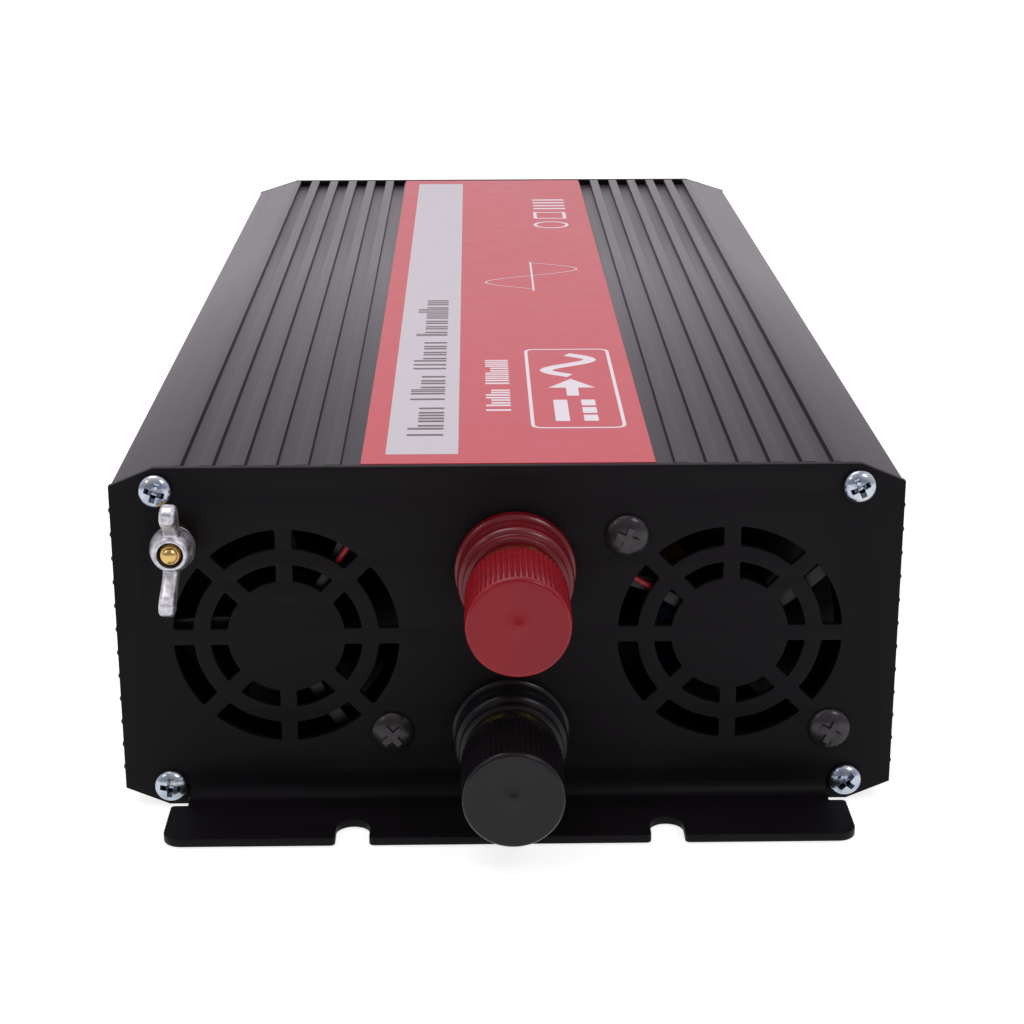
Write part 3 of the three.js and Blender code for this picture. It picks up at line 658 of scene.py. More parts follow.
def rib_points(first, last, step=1):
    """Round ribs on the right wall, in the order given."""
    points = []
    for i in range(first, last, step):
        z = LOWEST_RIB + i * RIB_PITCH
        rib = [(WALL_X, z - 1.1), *arc(RIB_REACH - 0.85, z, 0.85, -75, 75, 8), (WALL_X, z + 1.1)]
        points += rib if step > 0 else rib[::-1]
    return points


def groove_points():
    points = []
    edge = 0.25
    for i in range(GROOVES):
        outer = GROOVE_OUTER - i * GROOVE_PITCH
        inner = outer - GROOVE_WIDTH
        bottom = TOP_Z - GROOVE_DEPTH
        points += arc(outer + edge, TOP_Z - edge, edge, 90, 180, 3)
        points += arc(outer - edge, bottom + edge, edge, 0, -90, 2)
        points += arc(inner + edge, bottom + edge, edge, 270, 180, 2)
        last = i == GROOVES - 1
        points += arc(inner - edge, (TOP_Z if not last else TOP_Z - 0.5) - edge, edge, 0, 90, 3)
    return points


def both_sides(half):
    return half + [(-x, z) for x, z in reversed(half)]


def extruded(outer, inner, bore_z):
    loop = both_sides(outer) + both_sides(inner)[::-1]
    bores = [ring_loop(side * SCREW_X, bore_z, 2.1, 20) for side in (-1, 1)]
    return wall_of([loop, *bores], SHEET + SHELL_GAP, CASE_LENGTH - SHEET - SHELL_GAP, 0.12, 1)


def top_shell():
    outer = [
        (INNER_X + 1, SEAM_Z), (WALL_X - 0.3, SEAM_Z), (WALL_X, SEAM_Z + 0.3),
        *rib_points(RIBS // 2, RIBS),
        (WALL_X, 80.9), (WALL_X - 0.12, 81.45), (WALL_X - 0.6, 81.75),
        (79.6, 85.72), (78.2, TOP_Z),
        *groove_points(),
    ]
    inner = [
        (INNER_X + 1, SEAM_Z - 3), (INNER_X, SEAM_Z - 3),
        (INNER_X, 76), (79.5, 76), (77.5, 78), (77.5, CEILING_Z),
    ]
    return extruded(outer, inner, SCREW_TOP_Z)


def bottom_shell():
    lip = INNER_X + 1 + SHELL_GAP
    outer = [
        (lip, SEAM_Z - SHELL_GAP), (WALL_X - 0.3, SEAM_Z - SHELL_GAP), (WALL_X, SEAM_Z - SHELL_GAP - 0.3),
        *rib_points(RIBS // 2 - 1, -1, -1),
        (WALL_X, 5.5), (WALL_X - 0.15, 4.9), (WALL_X - 0.7, 4.5), (80.2, 0.74), (79.2, UNDER_Z),
    ]
    rails = []
    for low in (15.4, 12.0):
        rails += [(INNER_X, low + 1.2), (INNER_X - 3, low + 1.2), (INNER_X - 3, low), (INNER_X, low)]
    inner = [
        (lip, SEAM_Z - 3 - SHELL_GAP), (INNER_X, SEAM_Z - 3 - SHELL_GAP), *rails,
        (INNER_X, 10), (79.5, 10), (77.5, 8), (77.5, FLOOR_Z),
    ]
    return extruded(outer, inner, SCREW_LOW_Z)


for half, drawn in (("top", top_shell()), ("bottom", bottom_shell())):
    place(f"case_{half}", drawn, ANODISED, "case", replaces=[f"{half}_shell"])


# --- End plates --------------------------------------------------------------------------------

PLATE_X = 93.5
FRONT_CHAMFER = (10.5, 4.4)
REAR_CHAMFER = (15.0, 4.7)
BEND_R = 3.0
NECK_X = 78.0
NECK_DROP = 2.2
FLANGE_X = 82.0
FLANGE_REACH = 23.4
FLANGE_CORNER = 4.5
SLOT_X = 37.3
SLOT_R = 4.0
SLOT_DEPTH = 9.8
FOOT_Z = SHEET + BEND_R
BEND_LENGTH = math.pi / 2 * (BEND_R + SHEET / 2)
FLAT_END = FOOT_Z - BEND_LENGTH - (FLANGE_REACH - BEND_R)
FLANGE_TOP = FOOT_Z - BEND_LENGTH - NECK_DROP
RELIEF = 0.4


def blank_outline(top_chamfer):
    """The end plate's outline before it is folded; the flange hangs below the plate."""
    mouth = 1.2
    corner_x = FLANGE_X - FLANGE_CORNER
    half = [
        *arc(SLOT_X - SLOT_R - mouth, FLAT_END + mouth, mouth, -90, 0, 5),
        *arc(SLOT_X, FLAT_END + SLOT_DEPTH - SLOT_R, SLOT_R, 180, 0, 16),
        *arc(SLOT_X + SLOT_R + mouth, FLAT_END + mouth, mouth, 180, 270, 5),
        *arc(corner_x, FLAT_END + FLANGE_CORNER, FLANGE_CORNER, -90, 0, 10),
        *arc(FLANGE_X - 1, FLANGE_TOP - 1, 1, 0, 90, 4),
        (NECK_X, FLANGE_TOP), (NECK_X, FOOT_Z + 0.2), (NECK_X + RELIEF, FOOT_Z + 0.2),
        (NECK_X + RELIEF, 0),
        (PLATE_X - FRONT_CHAMFER[0], 0), (PLATE_X, FRONT_CHAMFER[1]),
        (PLATE_X, TOP_Z - top_chamfer[1]), (PLATE_X - top_chamfer[0], TOP_Z),
    ]
    return both_sides(half)


def fold(mesh):
    """Bends the flange of a flat blank outwards. The blank lies in XY and its thickness is in Z."""
    bm = bmesh.new()
    bm.from_mesh(mesh)
    steps = 10
    for i in range(steps + 1):
        level = FOOT_Z - BEND_LENGTH * i / steps
        geom = bm.verts[:] + bm.edges[:] + bm.faces[:]
        bmesh.ops.bisect_plane(bm, geom=geom, plane_co=(0, level, 0), plane_no=(0, 1, 0), dist=1e-5)
    neutral = BEND_R + SHEET / 2
    for vert in bm.verts:
        x, level, depth = vert.co
        drop = FOOT_Z - level
        in_neck = abs(x) < NECK_X + RELIEF / 2 or level < -0.5
        if drop <= 0 or not in_neck:
            vert.co = (x, depth, level)
            continue
        turn = min(drop / neutral, math.pi / 2)
        radius = BEND_R + depth
        straight = max(0, drop - BEND_LENGTH)
        y = -BEND_R + radius * math.cos(turn) - straight
        vert.co = (x, y, FOOT_Z - radius * math.sin(turn))
    folded = bpy.data.meshes.new("folded")
    bm.to_mesh(folded)
    bm.free()
    return tidy(folded, 0.0005)


GRILLE_RINGS = ((27.0, 22.2), (18.2, 14.1))
SPOKES = 8
SPOKE_WIDTH = 4.0


def grille_loops(cx, cz):
    loops = []
    for outer, inner in GRILLE_RINGS:
        for i in range(SPOKES):
            middle = (i + 0.5) * 360 / SPOKES
            half = 180 / SPOKES
            reach_out = half - math.degrees(math.asin(SPOKE_WIDTH / 2 / outer))
            reach_in = half - math.degrees(math.asin(SPOKE_WIDTH / 2 / inner))
            slot = arc(cx, cz, outer, middle - reach_out, middle + reach_out, 14)
            slot += arc(cx, cz, inner, middle + reach_in, middle - reach_in, 12)
            loops.append(softened(slot, 0.55, 3))
    return loops


def corner_loops():
    return [ring_loop(x, z, 2.1, 24) for x in (-SCREW_X, SCREW_X) for z in (SCREW_TOP_Z, SCREW_LOW_Z)]


FAN_LEFT = case_centre("fan_frame_left")
FAN_RIGHT = case_centre("fan_frame_right")
POST_RED = case_centre("red_cap")
POST_BLACK = case_centre("black_cap")
EARTH = case_centre("ground_washer")
FAN_SCREWS = [case_centre(f"fan_screw_{i}") for i in (1, 2, 3)]


def front_plate():
    loops = [blank_outline(FRONT_CHAMFER), *corner_loops()]
    for fan in (FAN_LEFT, FAN_RIGHT):
        loops += grille_loops(fan.x, fan.z)
    for at in FAN_SCREWS:
        loops.append(ring_loop(at.x, at.z, 2.2, 24))
    for at in (POST_RED, POST_BLACK):
        loops.append(ring_loop(at.x, at.z, 8, 48))
    loops.append(ring_loop(EARTH.x, EARTH.z, 2.8, 24))
    return fold(plate_of(loops, SHEET, 0.16, 2))


SOCKETS = [case_centre("mains_socket_outer"), case_centre("mains_socket_inner")]
SWITCH = case_centre("switch_housing")
LIGHTS = [case_centre("power_light"), case_centre("fault_light")]
VENT_FIRST = -80.0
VENT_PITCH = 7.0
VENTS = 9
VENT_WIDTH = 3.2
VENT_Z = (12.0, 28.0)


def rear_plate():
    """Drawn facing the front, so its openings are mirrored, then turned to face the rear."""
    loops = [blank_outline(REAR_CHAMFER), *corner_loops()]
    loops += [ring_loop(-at.x, at.z, 22.6, 64) for at in SOCKETS]
    half_x, half_z = 13.3, 9.3
    x, z = -SWITCH.x, SWITCH.z
    loops.append(rectangle(x - half_x, z - half_z, x + half_x, z + half_z, 0.8, 4))
    loops += [ring_loop(-at.x, at.z, 2.75, 24) for at in LIGHTS]
    radius = VENT_WIDTH / 2
    for i in range(VENTS):
        x = -(VENT_FIRST + i * VENT_PITCH)
        lower_end = arc(x, VENT_Z[0] + radius, radius, 180, 360, 8)
        loops.append(lower_end + arc(x, VENT_Z[1] - radius, radius, 0, 180, 8))
    mesh = fold(plate_of(loops, SHEET, 0.16, 2))
    return shifted(turned_about(mesh, "Z", 180), y=CASE_LENGTH)


for end, drawn in (("front", front_plate()), ("rear", rear_plate())):
    place(f"end_plate_{end}", drawn, POWDER, "case", replaces=[f"{end}_plate"], angle=28)


# --- Screws ------------------------------------------------------------------------------------


def phillips_tool(width, depth, top):
    """A four-armed recess that tapers to a point, opening at y = -top."""
    tools = []
    arm = width / 2
    for turn in (0, 90):
        half = width * 0.13
        verts = []
        for y, reach, thick in ((-top - 1, arm * 1.08, half * 1.1), (-top + depth, arm * 0.74, half * 0.85)):
            verts += [(x, y, z) for x, z in rectangle(-reach, -thick, reach, thick)]
        faces = [(0, 1, 2, 3), (7, 6, 5, 4), (0, 4, 5, 1), (1, 5, 6, 2), (2, 6, 7, 3), (3, 7, 4, 0)]
        tools.append(turned_about(tidy(mesh_from(verts, faces), 0.0005), "Y", turn))
    core = width * 0.23
    middle = [(0, -top - 1), (core, -top - 1), (core * 0.8, -top + depth), (0, -top + depth + 0.7)]
    return [*tools, lathe(middle, 24)]


def screw_mesh(head, height, shank, length, flat, recess):
    """A domed head in front of y = 0 and a threaded shank behind it."""
    profile = [(0, -height)]
    steps = 9
    for i in range(1, steps + 1):
        angle = math.pi / 2 * i / steps
        profile.append((head * math.sin(angle), -height * (flat + (1 - flat) * math.cos(angle))))
    profile += [(head, -0.25), (head - 0.15, -0.08), (shank + 0.1, -0.08)]
    thread, pitch = 0.28, 0.7
    turns = int((length - 1.5) / pitch)
    for i in range(turns):
        y = 0.6 + i * pitch
        profile += [(shank, y), (shank - thread, y + pitch / 2)]
    profile += [(shank - 0.1, length - 0.6), (shank - 0.6, length), (0, length)]
    body = lathe(profile, 48)
    return cut(body, *phillips_tool(recess, height * 1.3, height))


def add_screws():
    pan = screw_mesh(4.0, 2.7, 1.7, 12, flat=0.26, recess=5.0)
    number = 0
    turns = (18, 64, 5, 40, 77, 30, 52, 12)
    for end, y, about in (("front", 0, 0), ("rear", CASE_LENGTH, 180)):
        for i in (1, 2, 3, 4):
            node = f"{end}_screw_{i}"
            at = case_centre(node)
            mesh = turned_about(pan.copy(), "Y", turns[number])
            mesh = turned_about(mesh, "Z", about)
            place(f"corner_{node}", mesh, ZINC, "case", (at.x, y, at.z), [node], angle=38)
            number += 1
    truss = screw_mesh(5.25, 2.3, 1.8, 12, flat=0.05, recess=5.2)
    for i, turn in ((1, 20), (2, 28), (3, 50)):
        node = f"fan_screw_{i}"
        at = case_centre(node)
        mesh = turned_about(truss.copy(), "Y", turn)
        place(f"truss_{node}", mesh, OXIDE, "case", (at.x, 0, at.z), [node], angle=38)


add_screws()


# --- Battery posts -----------------------------------------------------------------------------

KNURLS = 56
KNURL_DEPTH = 0.38
POST_BORE = 4.5
POST_BASE_FRONT = -14.0


def post_base():
    return lathe(
        [
            (POST_BORE, -0.3), (14.2, -0.3), (14.4, -0.5), (14.4, -2.2), (14.25, -2.7), (13.9, -3.0),
            (13.55, -3.15), (13.35, -3.5), (13.35, -7.0), (13.55, -7.4), (13.7, -7.8), (13.7, -9.7),
            (13.55, -10.35),
            (13.2, -10.8), (12.7, -11.0), (12.45, -11.15), (12.3, -11.5), (12.3, -12.0), (12.5, -12.4),
            (12.5, -13.1), (12.35, -13.6), (11.9, -13.9), (11.3, POST_BASE_FRONT),
            (POST_BORE, POST_BASE_FRONT),
        ],
        96,
    )


def knurled_cap():
    """A cap with fine ribs along its side that end at a smooth, rounded front edge."""
    low, high = case_box("red_cap")
    radius, front, back = (high.x - low.x) / 2, low.y, high.y
    plain_from, ribbed_from = front + 1.15, front + 1.75
    inset, edge = 0.16, 1.05

    def ribs(angle, r, y):
        if r < radius - 0.5 or y < plain_from:
            return r
        share = min(1, (y - plain_from) / (ribbed_from - plain_from))
        wave = 0.5 - 0.5 * math.cos(angle * KNURLS)
        return r - KNURL_DEPTH * (1 - wave**0.8) * share

    profile = [(POST_BORE, back), (radius - 0.9, back), (radius - 0.35, back - 0.15), (radius, back - 0.5)]
    profile += [(radius, back + (front - back) * k / 4) for k in (1, 2, 3)]
    profile += [(radius, ribbed_from), (radius - inset / 2, (plain_from + ribbed_from) / 2)]
    profile += [(radius - inset, plain_from)]
    profile += arc(radius - inset - edge, front + edge + 0.08, edge, 0, -90, 7)[1:]
    profile += [(9.0, front + 0.1), (6.0, front + 0.16), (1.3, front + 0.18)]
    profile += [(1.1, front + 0.06), (0.6, front), (0, front)]
    bore = [(0, front + 3.2), (4.0, front + 3.2), (POST_BORE, front + 3.8)]
    return lathe([*reversed(profile), *reversed(bore)], KNURLS * 8, ribs)


def clamp_ring():
    rim = [(9.8, -14.4), (10.3, -14.9), (10.6, -15.8), (10.6, -17.4), (10.3, -17.7)]
    return lathe([(POST_BORE, -14.4), *rim, (POST_BORE, -17.7)], 72)


def threaded_rod(radius, y0, y1, pitch, depth, segments=40):
    profile = [(0, y0), (radius - depth, y0)]
    turns = int((y1 - y0) / pitch) - 1
    for i in range(turns):
        y = y0 + 0.4 + i * pitch
        profile += [(radius - depth, y), (radius - 0.06, y + pitch * 0.4), (radius - 0.06, y + pitch * 0.55)]
    profile += [(radius - depth, y1), (0, y1)]
    return lathe(profile, segments)


def hexagon_loop(across):
    return ring_loop(0, 0, across / math.sqrt(3), 6)


def nut_mesh(across, bore, y0, y1):
    """A hexagon nut with chamfered corners."""
    blank = wall_of([hexagon_loop(across)], y0, y1)
    corner = across / math.sqrt(3)
    slope = (corner - across / 2) * 0.6
    front = [(bore, y0), (across / 2, y0), (corner + 0.1, y0 + slope)]
    crown = lathe([*front, (corner + 0.1, y1 - slope), (across / 2, y1), (bore, y1)], 48)
    return combine(blank, [crown], "INTERSECT")


def add_post(colour, plastic, base_plastic_and_shade):
    at = case_centre(f"{colour}_cap")
    here = (at.x, 0, at.z)
    place(f"{colour}_base", post_base(), base_plastic_and_shade, "case", here, [f"{colour}_post_base"])
    place(f"{colour}_knob", knurled_cap(), plastic, f"{colour}_cap", here, [f"{colour}_cap"], angle=42)
    place(f"{colour}_ring", clamp_ring(), BRASS, f"{colour}_clamp", here, [f"{colour}_clamp_ring"])
    low, high = case_box(f"{colour}_post_stud")
    stud = threaded_rod(4.0, low.y, high.y, 1.25, 0.6)
    place(f"{colour}_stud", stud, BRASS, "case", here, [f"{colour}_post_stud"])
    low, high = case_box(f"{colour}_post_nut")
    nut = nut_mesh(13, POST_BORE, low.y, high.y)
    place(f"{colour}_nut", nut, ZINC, "case", here, [f"{colour}_post_nut"])
    low, high = case_box(f"{colour}_insulator")
    neck = [(POST_BORE, low.y), (7.6, low.y), (7.7, low.y + 0.1), (7.7, 2.3)]
    collar = [(11.8, 2.3), (12, 2.5), (12, high.y - 0.2), (11.8, high.y), (POST_BORE, high.y)]
    washer = lathe([*neck, *collar], 64)
    place(f"{colour}_bush", washer, plastic, "case", here, [f"{colour}_insulator"])


# The red base takes the darker copy of the red plastic, with painted shade in its colour; the black base uses
# the black plastic unchanged.
add_post("red", RED_PLASTIC, RED_PLASTIC_PAINTED_SHADE)
add_post("black", BLACK_PLASTIC, BLACK_PLASTIC)


# --- Earth stud and wing nut -------------------------------------------------------------------


WING_LEAN = 3
WING_THICKNESS = 3.7


def rounded_by_voxels(mesh, voxel, passes):
    """A cast look: the union of the pieces, remeshed finely and relaxed."""
    obj = loose(mesh)
    remesh = obj.modifiers.new("remesh", "REMESH")
    remesh.mode = "VOXEL"
    remesh.voxel_size = voxel
    relax = obj.modifiers.new("relax", "SMOOTH")
    relax.factor = 0.5
    relax.iterations = passes
    return tidy(evaluated(obj), 0.001)


def wing_nut():
    skirt = [(4.9, -5.6), (5.3, -6.0), (5.35, -7.2), (5.2, -8.6), (4.75, -10.2), (4.2, -11.6), (3.7, -12.2)]
    hub = lathe([(0, -5.6), *skirt, (0, -12.2)], 48)
    blade_outline = softened(
        [(1.0, -6.6), (6.0, -7.8), (9.6, -10.4), (12.2, -12.6), (13.25, -14.4), (13.25, -17.0), (12.2, -18.6),
         (9.8, -18.6), (8.2, -16.8), (6.4, -13.6), (4.8, -11.6), (1.0, -10.8)],
        1.2,
    )
    pieces = [hub]
    for turn in (0, 180):
        blade = shifted(plate_of([blade_outline], WING_THICKNESS, 1.0, 3), z=-WING_THICKNESS / 2)
        pieces.append(turned_about(blade, "Y", turn))
    cast = rounded_by_voxels(joined(*pieces), 0.2, 5)
    mouth = lathe([(0, -20), (3.3, -20), (3.1, -11.9), (2.95, -10.2), (2.85, 0), (0, 0)], 36)
    bored = cut(cast, mouth)
    return turned_about(bored, "Y", 90 + WING_LEAN)


def add_earth_stud():
    here = (EARTH.x, 0, EARTH.z)
    place("earth_wing_nut", wing_nut(), CAST, "earth_wing_nut", here, ["wing_nut"], angle=60)
    washer = tube(5, 2.8, -5.3, -4.3, 0.15)
    place("earth_washer", washer, ZINC, "earth_washer", here, ["ground_washer"])
    nut = nut_mesh(8, 2.8, -4, -0.3)
    place("earth_nut", nut, BRASS, "case", here, ["ground_nut"])
    low, high = case_box("ground_stud")
    shank = threaded_rod(2.5, low.y + 1.4, high.y - 3.4, 0.8, 0.35)
    dome = ((0, 0), (0.8, 0.06), (1.4, 0.3), (1.8, 0.7), (1.95, 1.6), (0, 1.6))
    tip = lathe([(radius, low.y + depth) for radius, depth in dome], 40)
    head = nut_mesh(8, 1.0, high.y - 3.5, high.y)
    plug = rod(1.4, high.y - 3.6, high.y - 0.3)
    place("earth_stud", union(shank, tip, head, plug), BRASS, "case", here, ["ground_stud"])


add_earth_stud()


# --- Fans --------------------------------------------------------------------------------------

FAN_HALF = 30.0
FAN_DEPTH = 25.0
FAN_HOLE = 25.0
FLANGE_DEPTH = 3.5
STRUT_FRONT = 2.2
STRUT_BACK = 4.8
FAN_HUB = 12.5
FAN_BORE = 28.5
STRUT_ANGLES = {"left": (55, 175, 295), "right": (150, 30, 270)}
BLADES = 7
LEAD_COVER_END = 19.0
LEAD_RADIUS = 0.78
CHANNEL_HALF = 1.5
CHANNEL_END = 46


def fan_flange(y0, y1, earth_corner):
    square = rectangle(-FAN_HALF, -FAN_HALF, FAN_HALF, FAN_HALF, 3.2, 8)
    holes = [ring_loop(0, 0, FAN_BORE, 96)]
    for sx in (-1, 1):
        for sz in (-1, 1):
            radius = 2.8 if earth_corner and sx < 0 < sz else 2.2
            holes.append(ring_loop(sx * FAN_HOLE, sz * FAN_HOLE, radius, 24))
    return wall_of([square, *holes], y0, y1, 0.25, 2)


def curved_strut(angle):
    """A strut from the hub to the frame that leans a little as it goes out."""
    inner, outer, width = FAN_HUB - 1.5, FAN_BORE + 0.9, 3.6
    left, right = [], []
    steps = 8
    for i in range(steps + 1):
        t = i / steps
        radius = inner + (outer - inner) * t
        a = math.radians(angle + 7 * (t - 0.5))
        middle = Vector((math.cos(a), math.sin(a))) * radius
        side = Vector((-math.sin(a), math.cos(a))) * width / 2
        left.append(tuple(middle + side))
        right.append(tuple(middle - side))
    return wall_of([right + left[::-1]], STRUT_FRONT, STRUT_BACK, 0.3, 2)


def channel_tool(angle):
    """Cuts the lead's way along a strut and out over the edge of the frame."""
    bar = brick((FAN_BORE - 4, -1, -CHANNEL_HALF), (CHANNEL_END, STRUT_FRONT, CHANNEL_HALF), 0)
    notch = brick((FAN_HALF, -1, -CHANNEL_HALF), (CHANNEL_END, STRUT_FRONT + 1.2, CHANNEL_HALF), 0)
    return [turned_about(tool, "Y", -angle) for tool in (bar, notch)]


def fan_frame(side):
    angles = STRUT_ANGLES[side]
    earth = side == "left"
    duct = tube(FAN_BORE + 1.5, FAN_BORE, 2.0, FAN_DEPTH - 2.0, 0.05, 96)
    hub_front = [(0, STRUT_FRONT), (FAN_HUB - 0.6, STRUT_FRONT), (FAN_HUB, STRUT_FRONT + 0.5)]
    hub = lathe([*hub_front, (FAN_HUB, STRUT_BACK), (0, STRUT_BACK)], 64)
    sleeve = tube(4.0, 1.8, STRUT_BACK - 0.6, STRUT_BACK + 9, 0.1, 32)
    cover = brick((FAN_HUB - 1.5, 0.4, -CHANNEL_HALF), (LEAD_COVER_END, STRUT_FRONT + 0.6, CHANNEL_HALF), 0.3)
    cover = turned_about(cover, "Y", -angles[0])
    pieces = [fan_flange(FAN_DEPTH - FLANGE_DEPTH, FAN_DEPTH, earth), duct, hub, sleeve, cover]
    pieces += [curved_strut(angle) for angle in angles]
    whole = union(fan_flange(0, FLANGE_DEPTH, earth), *pieces)
    return cut(whole, *channel_tool(angles[0]))


def blade(turn):
    """One curved fan blade: a thin lofted skin with rounded tips."""
    spans, chords = 8, 10
    thickness = 0.9
    front_side, back_side = [], []
    for i in range(spans + 1):
        t = i / spans
        radius = FAN_HUB - 0.8 + (27.3 - FAN_HUB + 0.8) * t
        chord = 47 - 9 * t
        for k in range(chords + 1):
            s = k / chords - 0.5
            angle = math.radians(turn + 10 * t * t + chord * s)
            y = 16.2 + (13.5 - 2.0 * t) * s + 3.2 * (s * s - 0.25)
            edge = max(0.12, 1 - (abs(s) * 2) ** 4) * thickness / 2
            point = Vector((radius * math.cos(angle), y, radius * math.sin(angle)))
            front_side.append(point - Vector((0, edge, 0)))
            back_side.append(point + Vector((0, edge, 0)))
    row = chords + 1
    count = len(front_side)
    faces = []
    for i in range(spans):
        for k in range(chords):
            a = i * row + k
            quad = (a, a + 1, a + row + 1, a + row)
            faces.append(quad)
            faces.append(tuple(count + v for v in reversed(quad)))
    rim = [*range(row), *(i * row + chords for i in range(1, spans + 1))]
    rim += [spans * row + k for k in range(chords - 1, -1, -1)]
    rim += [i * row for i in range(spans - 1, 0, -1)]
    for a, b in zip(rim, rim[1:] + rim[:1]):
        faces.append((b, a, count + a, count + b))
    return tidy(mesh_from(front_side + back_side, faces), 0.0005)


def fan_rotor():
    cup = lathe(
        [
            (FAN_HUB - 2, 8.2), (FAN_HUB - 0.3, 8.2), (FAN_HUB, 8.5), (FAN_HUB, 23.2), (FAN_HUB - 0.5, 24.1),
            (FAN_HUB - 1.4, 24.5), (0, 24.5), (0, 22.5), (FAN_HUB - 2, 22.5),
        ],
        72,
    )
    pin = rod(1.4, 7.2, 23.0, 0.2, 24)
    return union(cup, pin, *[blade(i * 360 / BLADES) for i in range(BLADES)])


def fan_lead_route(angle):
    across, up = math.cos(math.radians(angle)), math.sin(math.radians(angle))
    channel = STRUT_FRONT / 2
    edge = 32.6 / max(abs(across), abs(up))
    x, z = across * edge, up * edge

    def along(radius, y):
        return (across * radius, y, up * radius)

    foot = case_box("main_board")[1].z + 1.3 - FAN_LEFT.z
    return [
        along(LEAD_COVER_END + 0.3, channel), along(edge - 4, channel), along(edge - 1, channel + 1),
        (x, 5, z), (x, 12.5, z), (x, 25, z), (x, 30, z - 5), (x, 30.5, 0), (x, 30.5, foot),
    ]


def add_fan(side, centre):
    here = (centre.x, centre.y - FAN_DEPTH / 2, centre.z)
    body = f"{side}_fan_rotor"
    wire = sweep(smooth_route(fan_lead_route(STRUT_ANGLES[side][0]), 8), LEAD_RADIUS)
    for piece, mesh, carrier in (("frame", fan_frame(side), "case"), ("rotor", fan_rotor(), body)):
        name = f"fan_{side}_{piece}"
        place(name, mesh, FAN_PLASTIC, carrier, here, [f"fan_{piece}_{side}"])
    place(f"fan_{side}_wire", wire, WIRE_RED, "case", here, [f"fan_lead_{side}"], angle=50)


add_fan("left", FAN_LEFT)
add_fan("right", FAN_RIGHT)


# --- Label -------------------------------------------------------------------------------------

LABEL_LOW, LABEL_HIGH = case_box("rating_label")
INK = 0.03
BAND_X = (-29.0, -11.7)
BAND_Y = (10.0, 383.8)


def label_print(name, mesh, material, layer=1):
    """A printed area: a very thin sheet that lies on the label, on one of two ink layers."""
    height = LABEL_HIGH.z + (layer - 1) * INK
    place(f"label_{name}", mesh, material, "case", (0, 0, height))


def ink(loops):
    return plate_of(loops, INK)


def stroke(points, width):
    """A line of even width with round ends, as a closed outline."""
    points = [Vector(p) for p in points]
    left, right = [], []
    for i, point in enumerate(points):
        ahead = (points[min(i + 1, len(points) - 1)] - points[max(i - 1, 0)]).normalized()
        side = Vector((-ahead.y, ahead.x)) * width / 2
        left.append(tuple(point + side))
        right.append(tuple(point - side))
    return right + left[::-1]


def sine_wave(x0, y0, length, height, steps=48):
    """One period along +Y, swinging to -X first, as type on this label stands."""
    shares = [i / steps for i in range(steps + 1)]
    return [(x0 - height * math.sin(2 * math.pi * share), y0 + length * share) for share in shares]


def add_label():
    sheet = brick(LABEL_LOW, LABEL_HIGH, 0.08, 1)
    place("label_sheet", sheet, LABEL_RED, "case", replaces=["rating_label"])
    label_print("band", ink([rectangle(BAND_X[0], BAND_Y[0], BAND_X[1], BAND_Y[1])]), LABEL_PALE)


def strokes(start, widths, tall, low, high, tall_low, gap):
    """Strokes that hold the place of one printed word, without drawing any letter."""
    loops = []
    y = start
    for i, width in enumerate(widths):
        top = tall_low if i in tall else low
        stroke_width = min(1.5, width / 2.6)
        count = 2 if width < 8 else 3
        step = (width - stroke_width) / (count - 1)
        for k in range(count):
            edge = y + k * step
            loops.append(rectangle(top, edge, high, edge + stroke_width, 0.4))
        y += width + gap
    return loops


# Each word: where it starts along Y, the widths of its strokes' groups, and which groups are tall.
BAND_WORDS = (
    (25.5, (7.0, 5.6, 4.2, 5.6), (0,)),
    (58.5, (7.0, 2.6, 5.6, 5.8), (0, 1)),
    (90.0, (10.0, 5.8, 5.8, 5.8), (0,)),
    (128.3, (2.6, 5.8, 5.8, 5.8, 4.2, 4.4, 5.8, 4.2), (0, 5)),
)
SMALL_WORDS = (
    (47.7, (6.0, 4.2, 4.2, 3.6), (0, 2)),
    (74.1, (4.4, 3.0, 3.0, 4.2, 3.6, 3.0), (0, 1, 2, 4, 5)),
)
BAND_LINE = (-21.9, -15.4, -24.4, 1.1)
SMALL_LINE = (-3.4, 1.6, -4.8, 0.9)


def placeholder_words(words, line):
    return [loop for word in words for loop in strokes(*word, *line)]


def rating_symbols():
    """Inside the outline box: direct current, an arrow and alternating current, as plain symbols."""
    solid = rectangle(12.6, 38, 16.2, 58, 0.3)
    dashes = [rectangle(19.8, 38 + i * 7.2, 23.4, 43.6 + i * 7.2, 0.3) for i in range(3)]
    arrow = [(16.4, 62), (19.6, 62), (19.6, 70), (24.2, 70), (18.0, 79), (11.8, 70), (16.4, 70)]
    return [solid, *dashes, arrow, stroke(sine_wave(18.0, 82.5, 23, 6.2), 3.4)]


def plain_marks():
    """Generic shapes in the place of printed marks near the far end: a ring, a square and four bars."""
    ring = [ring_loop(20.5, 297, 6.4, 40), ring_loop(20.5, 297, 5.2, 40)]
    square = outline_box(14.6, 309, 26.6, 322, 1.0, 1.2)
    lines = [rectangle(15, 328 + 6 * i, 27, 330.4 + 6 * i, 0.4) for i in range(4)]
    return [*ring, *square, *lines]


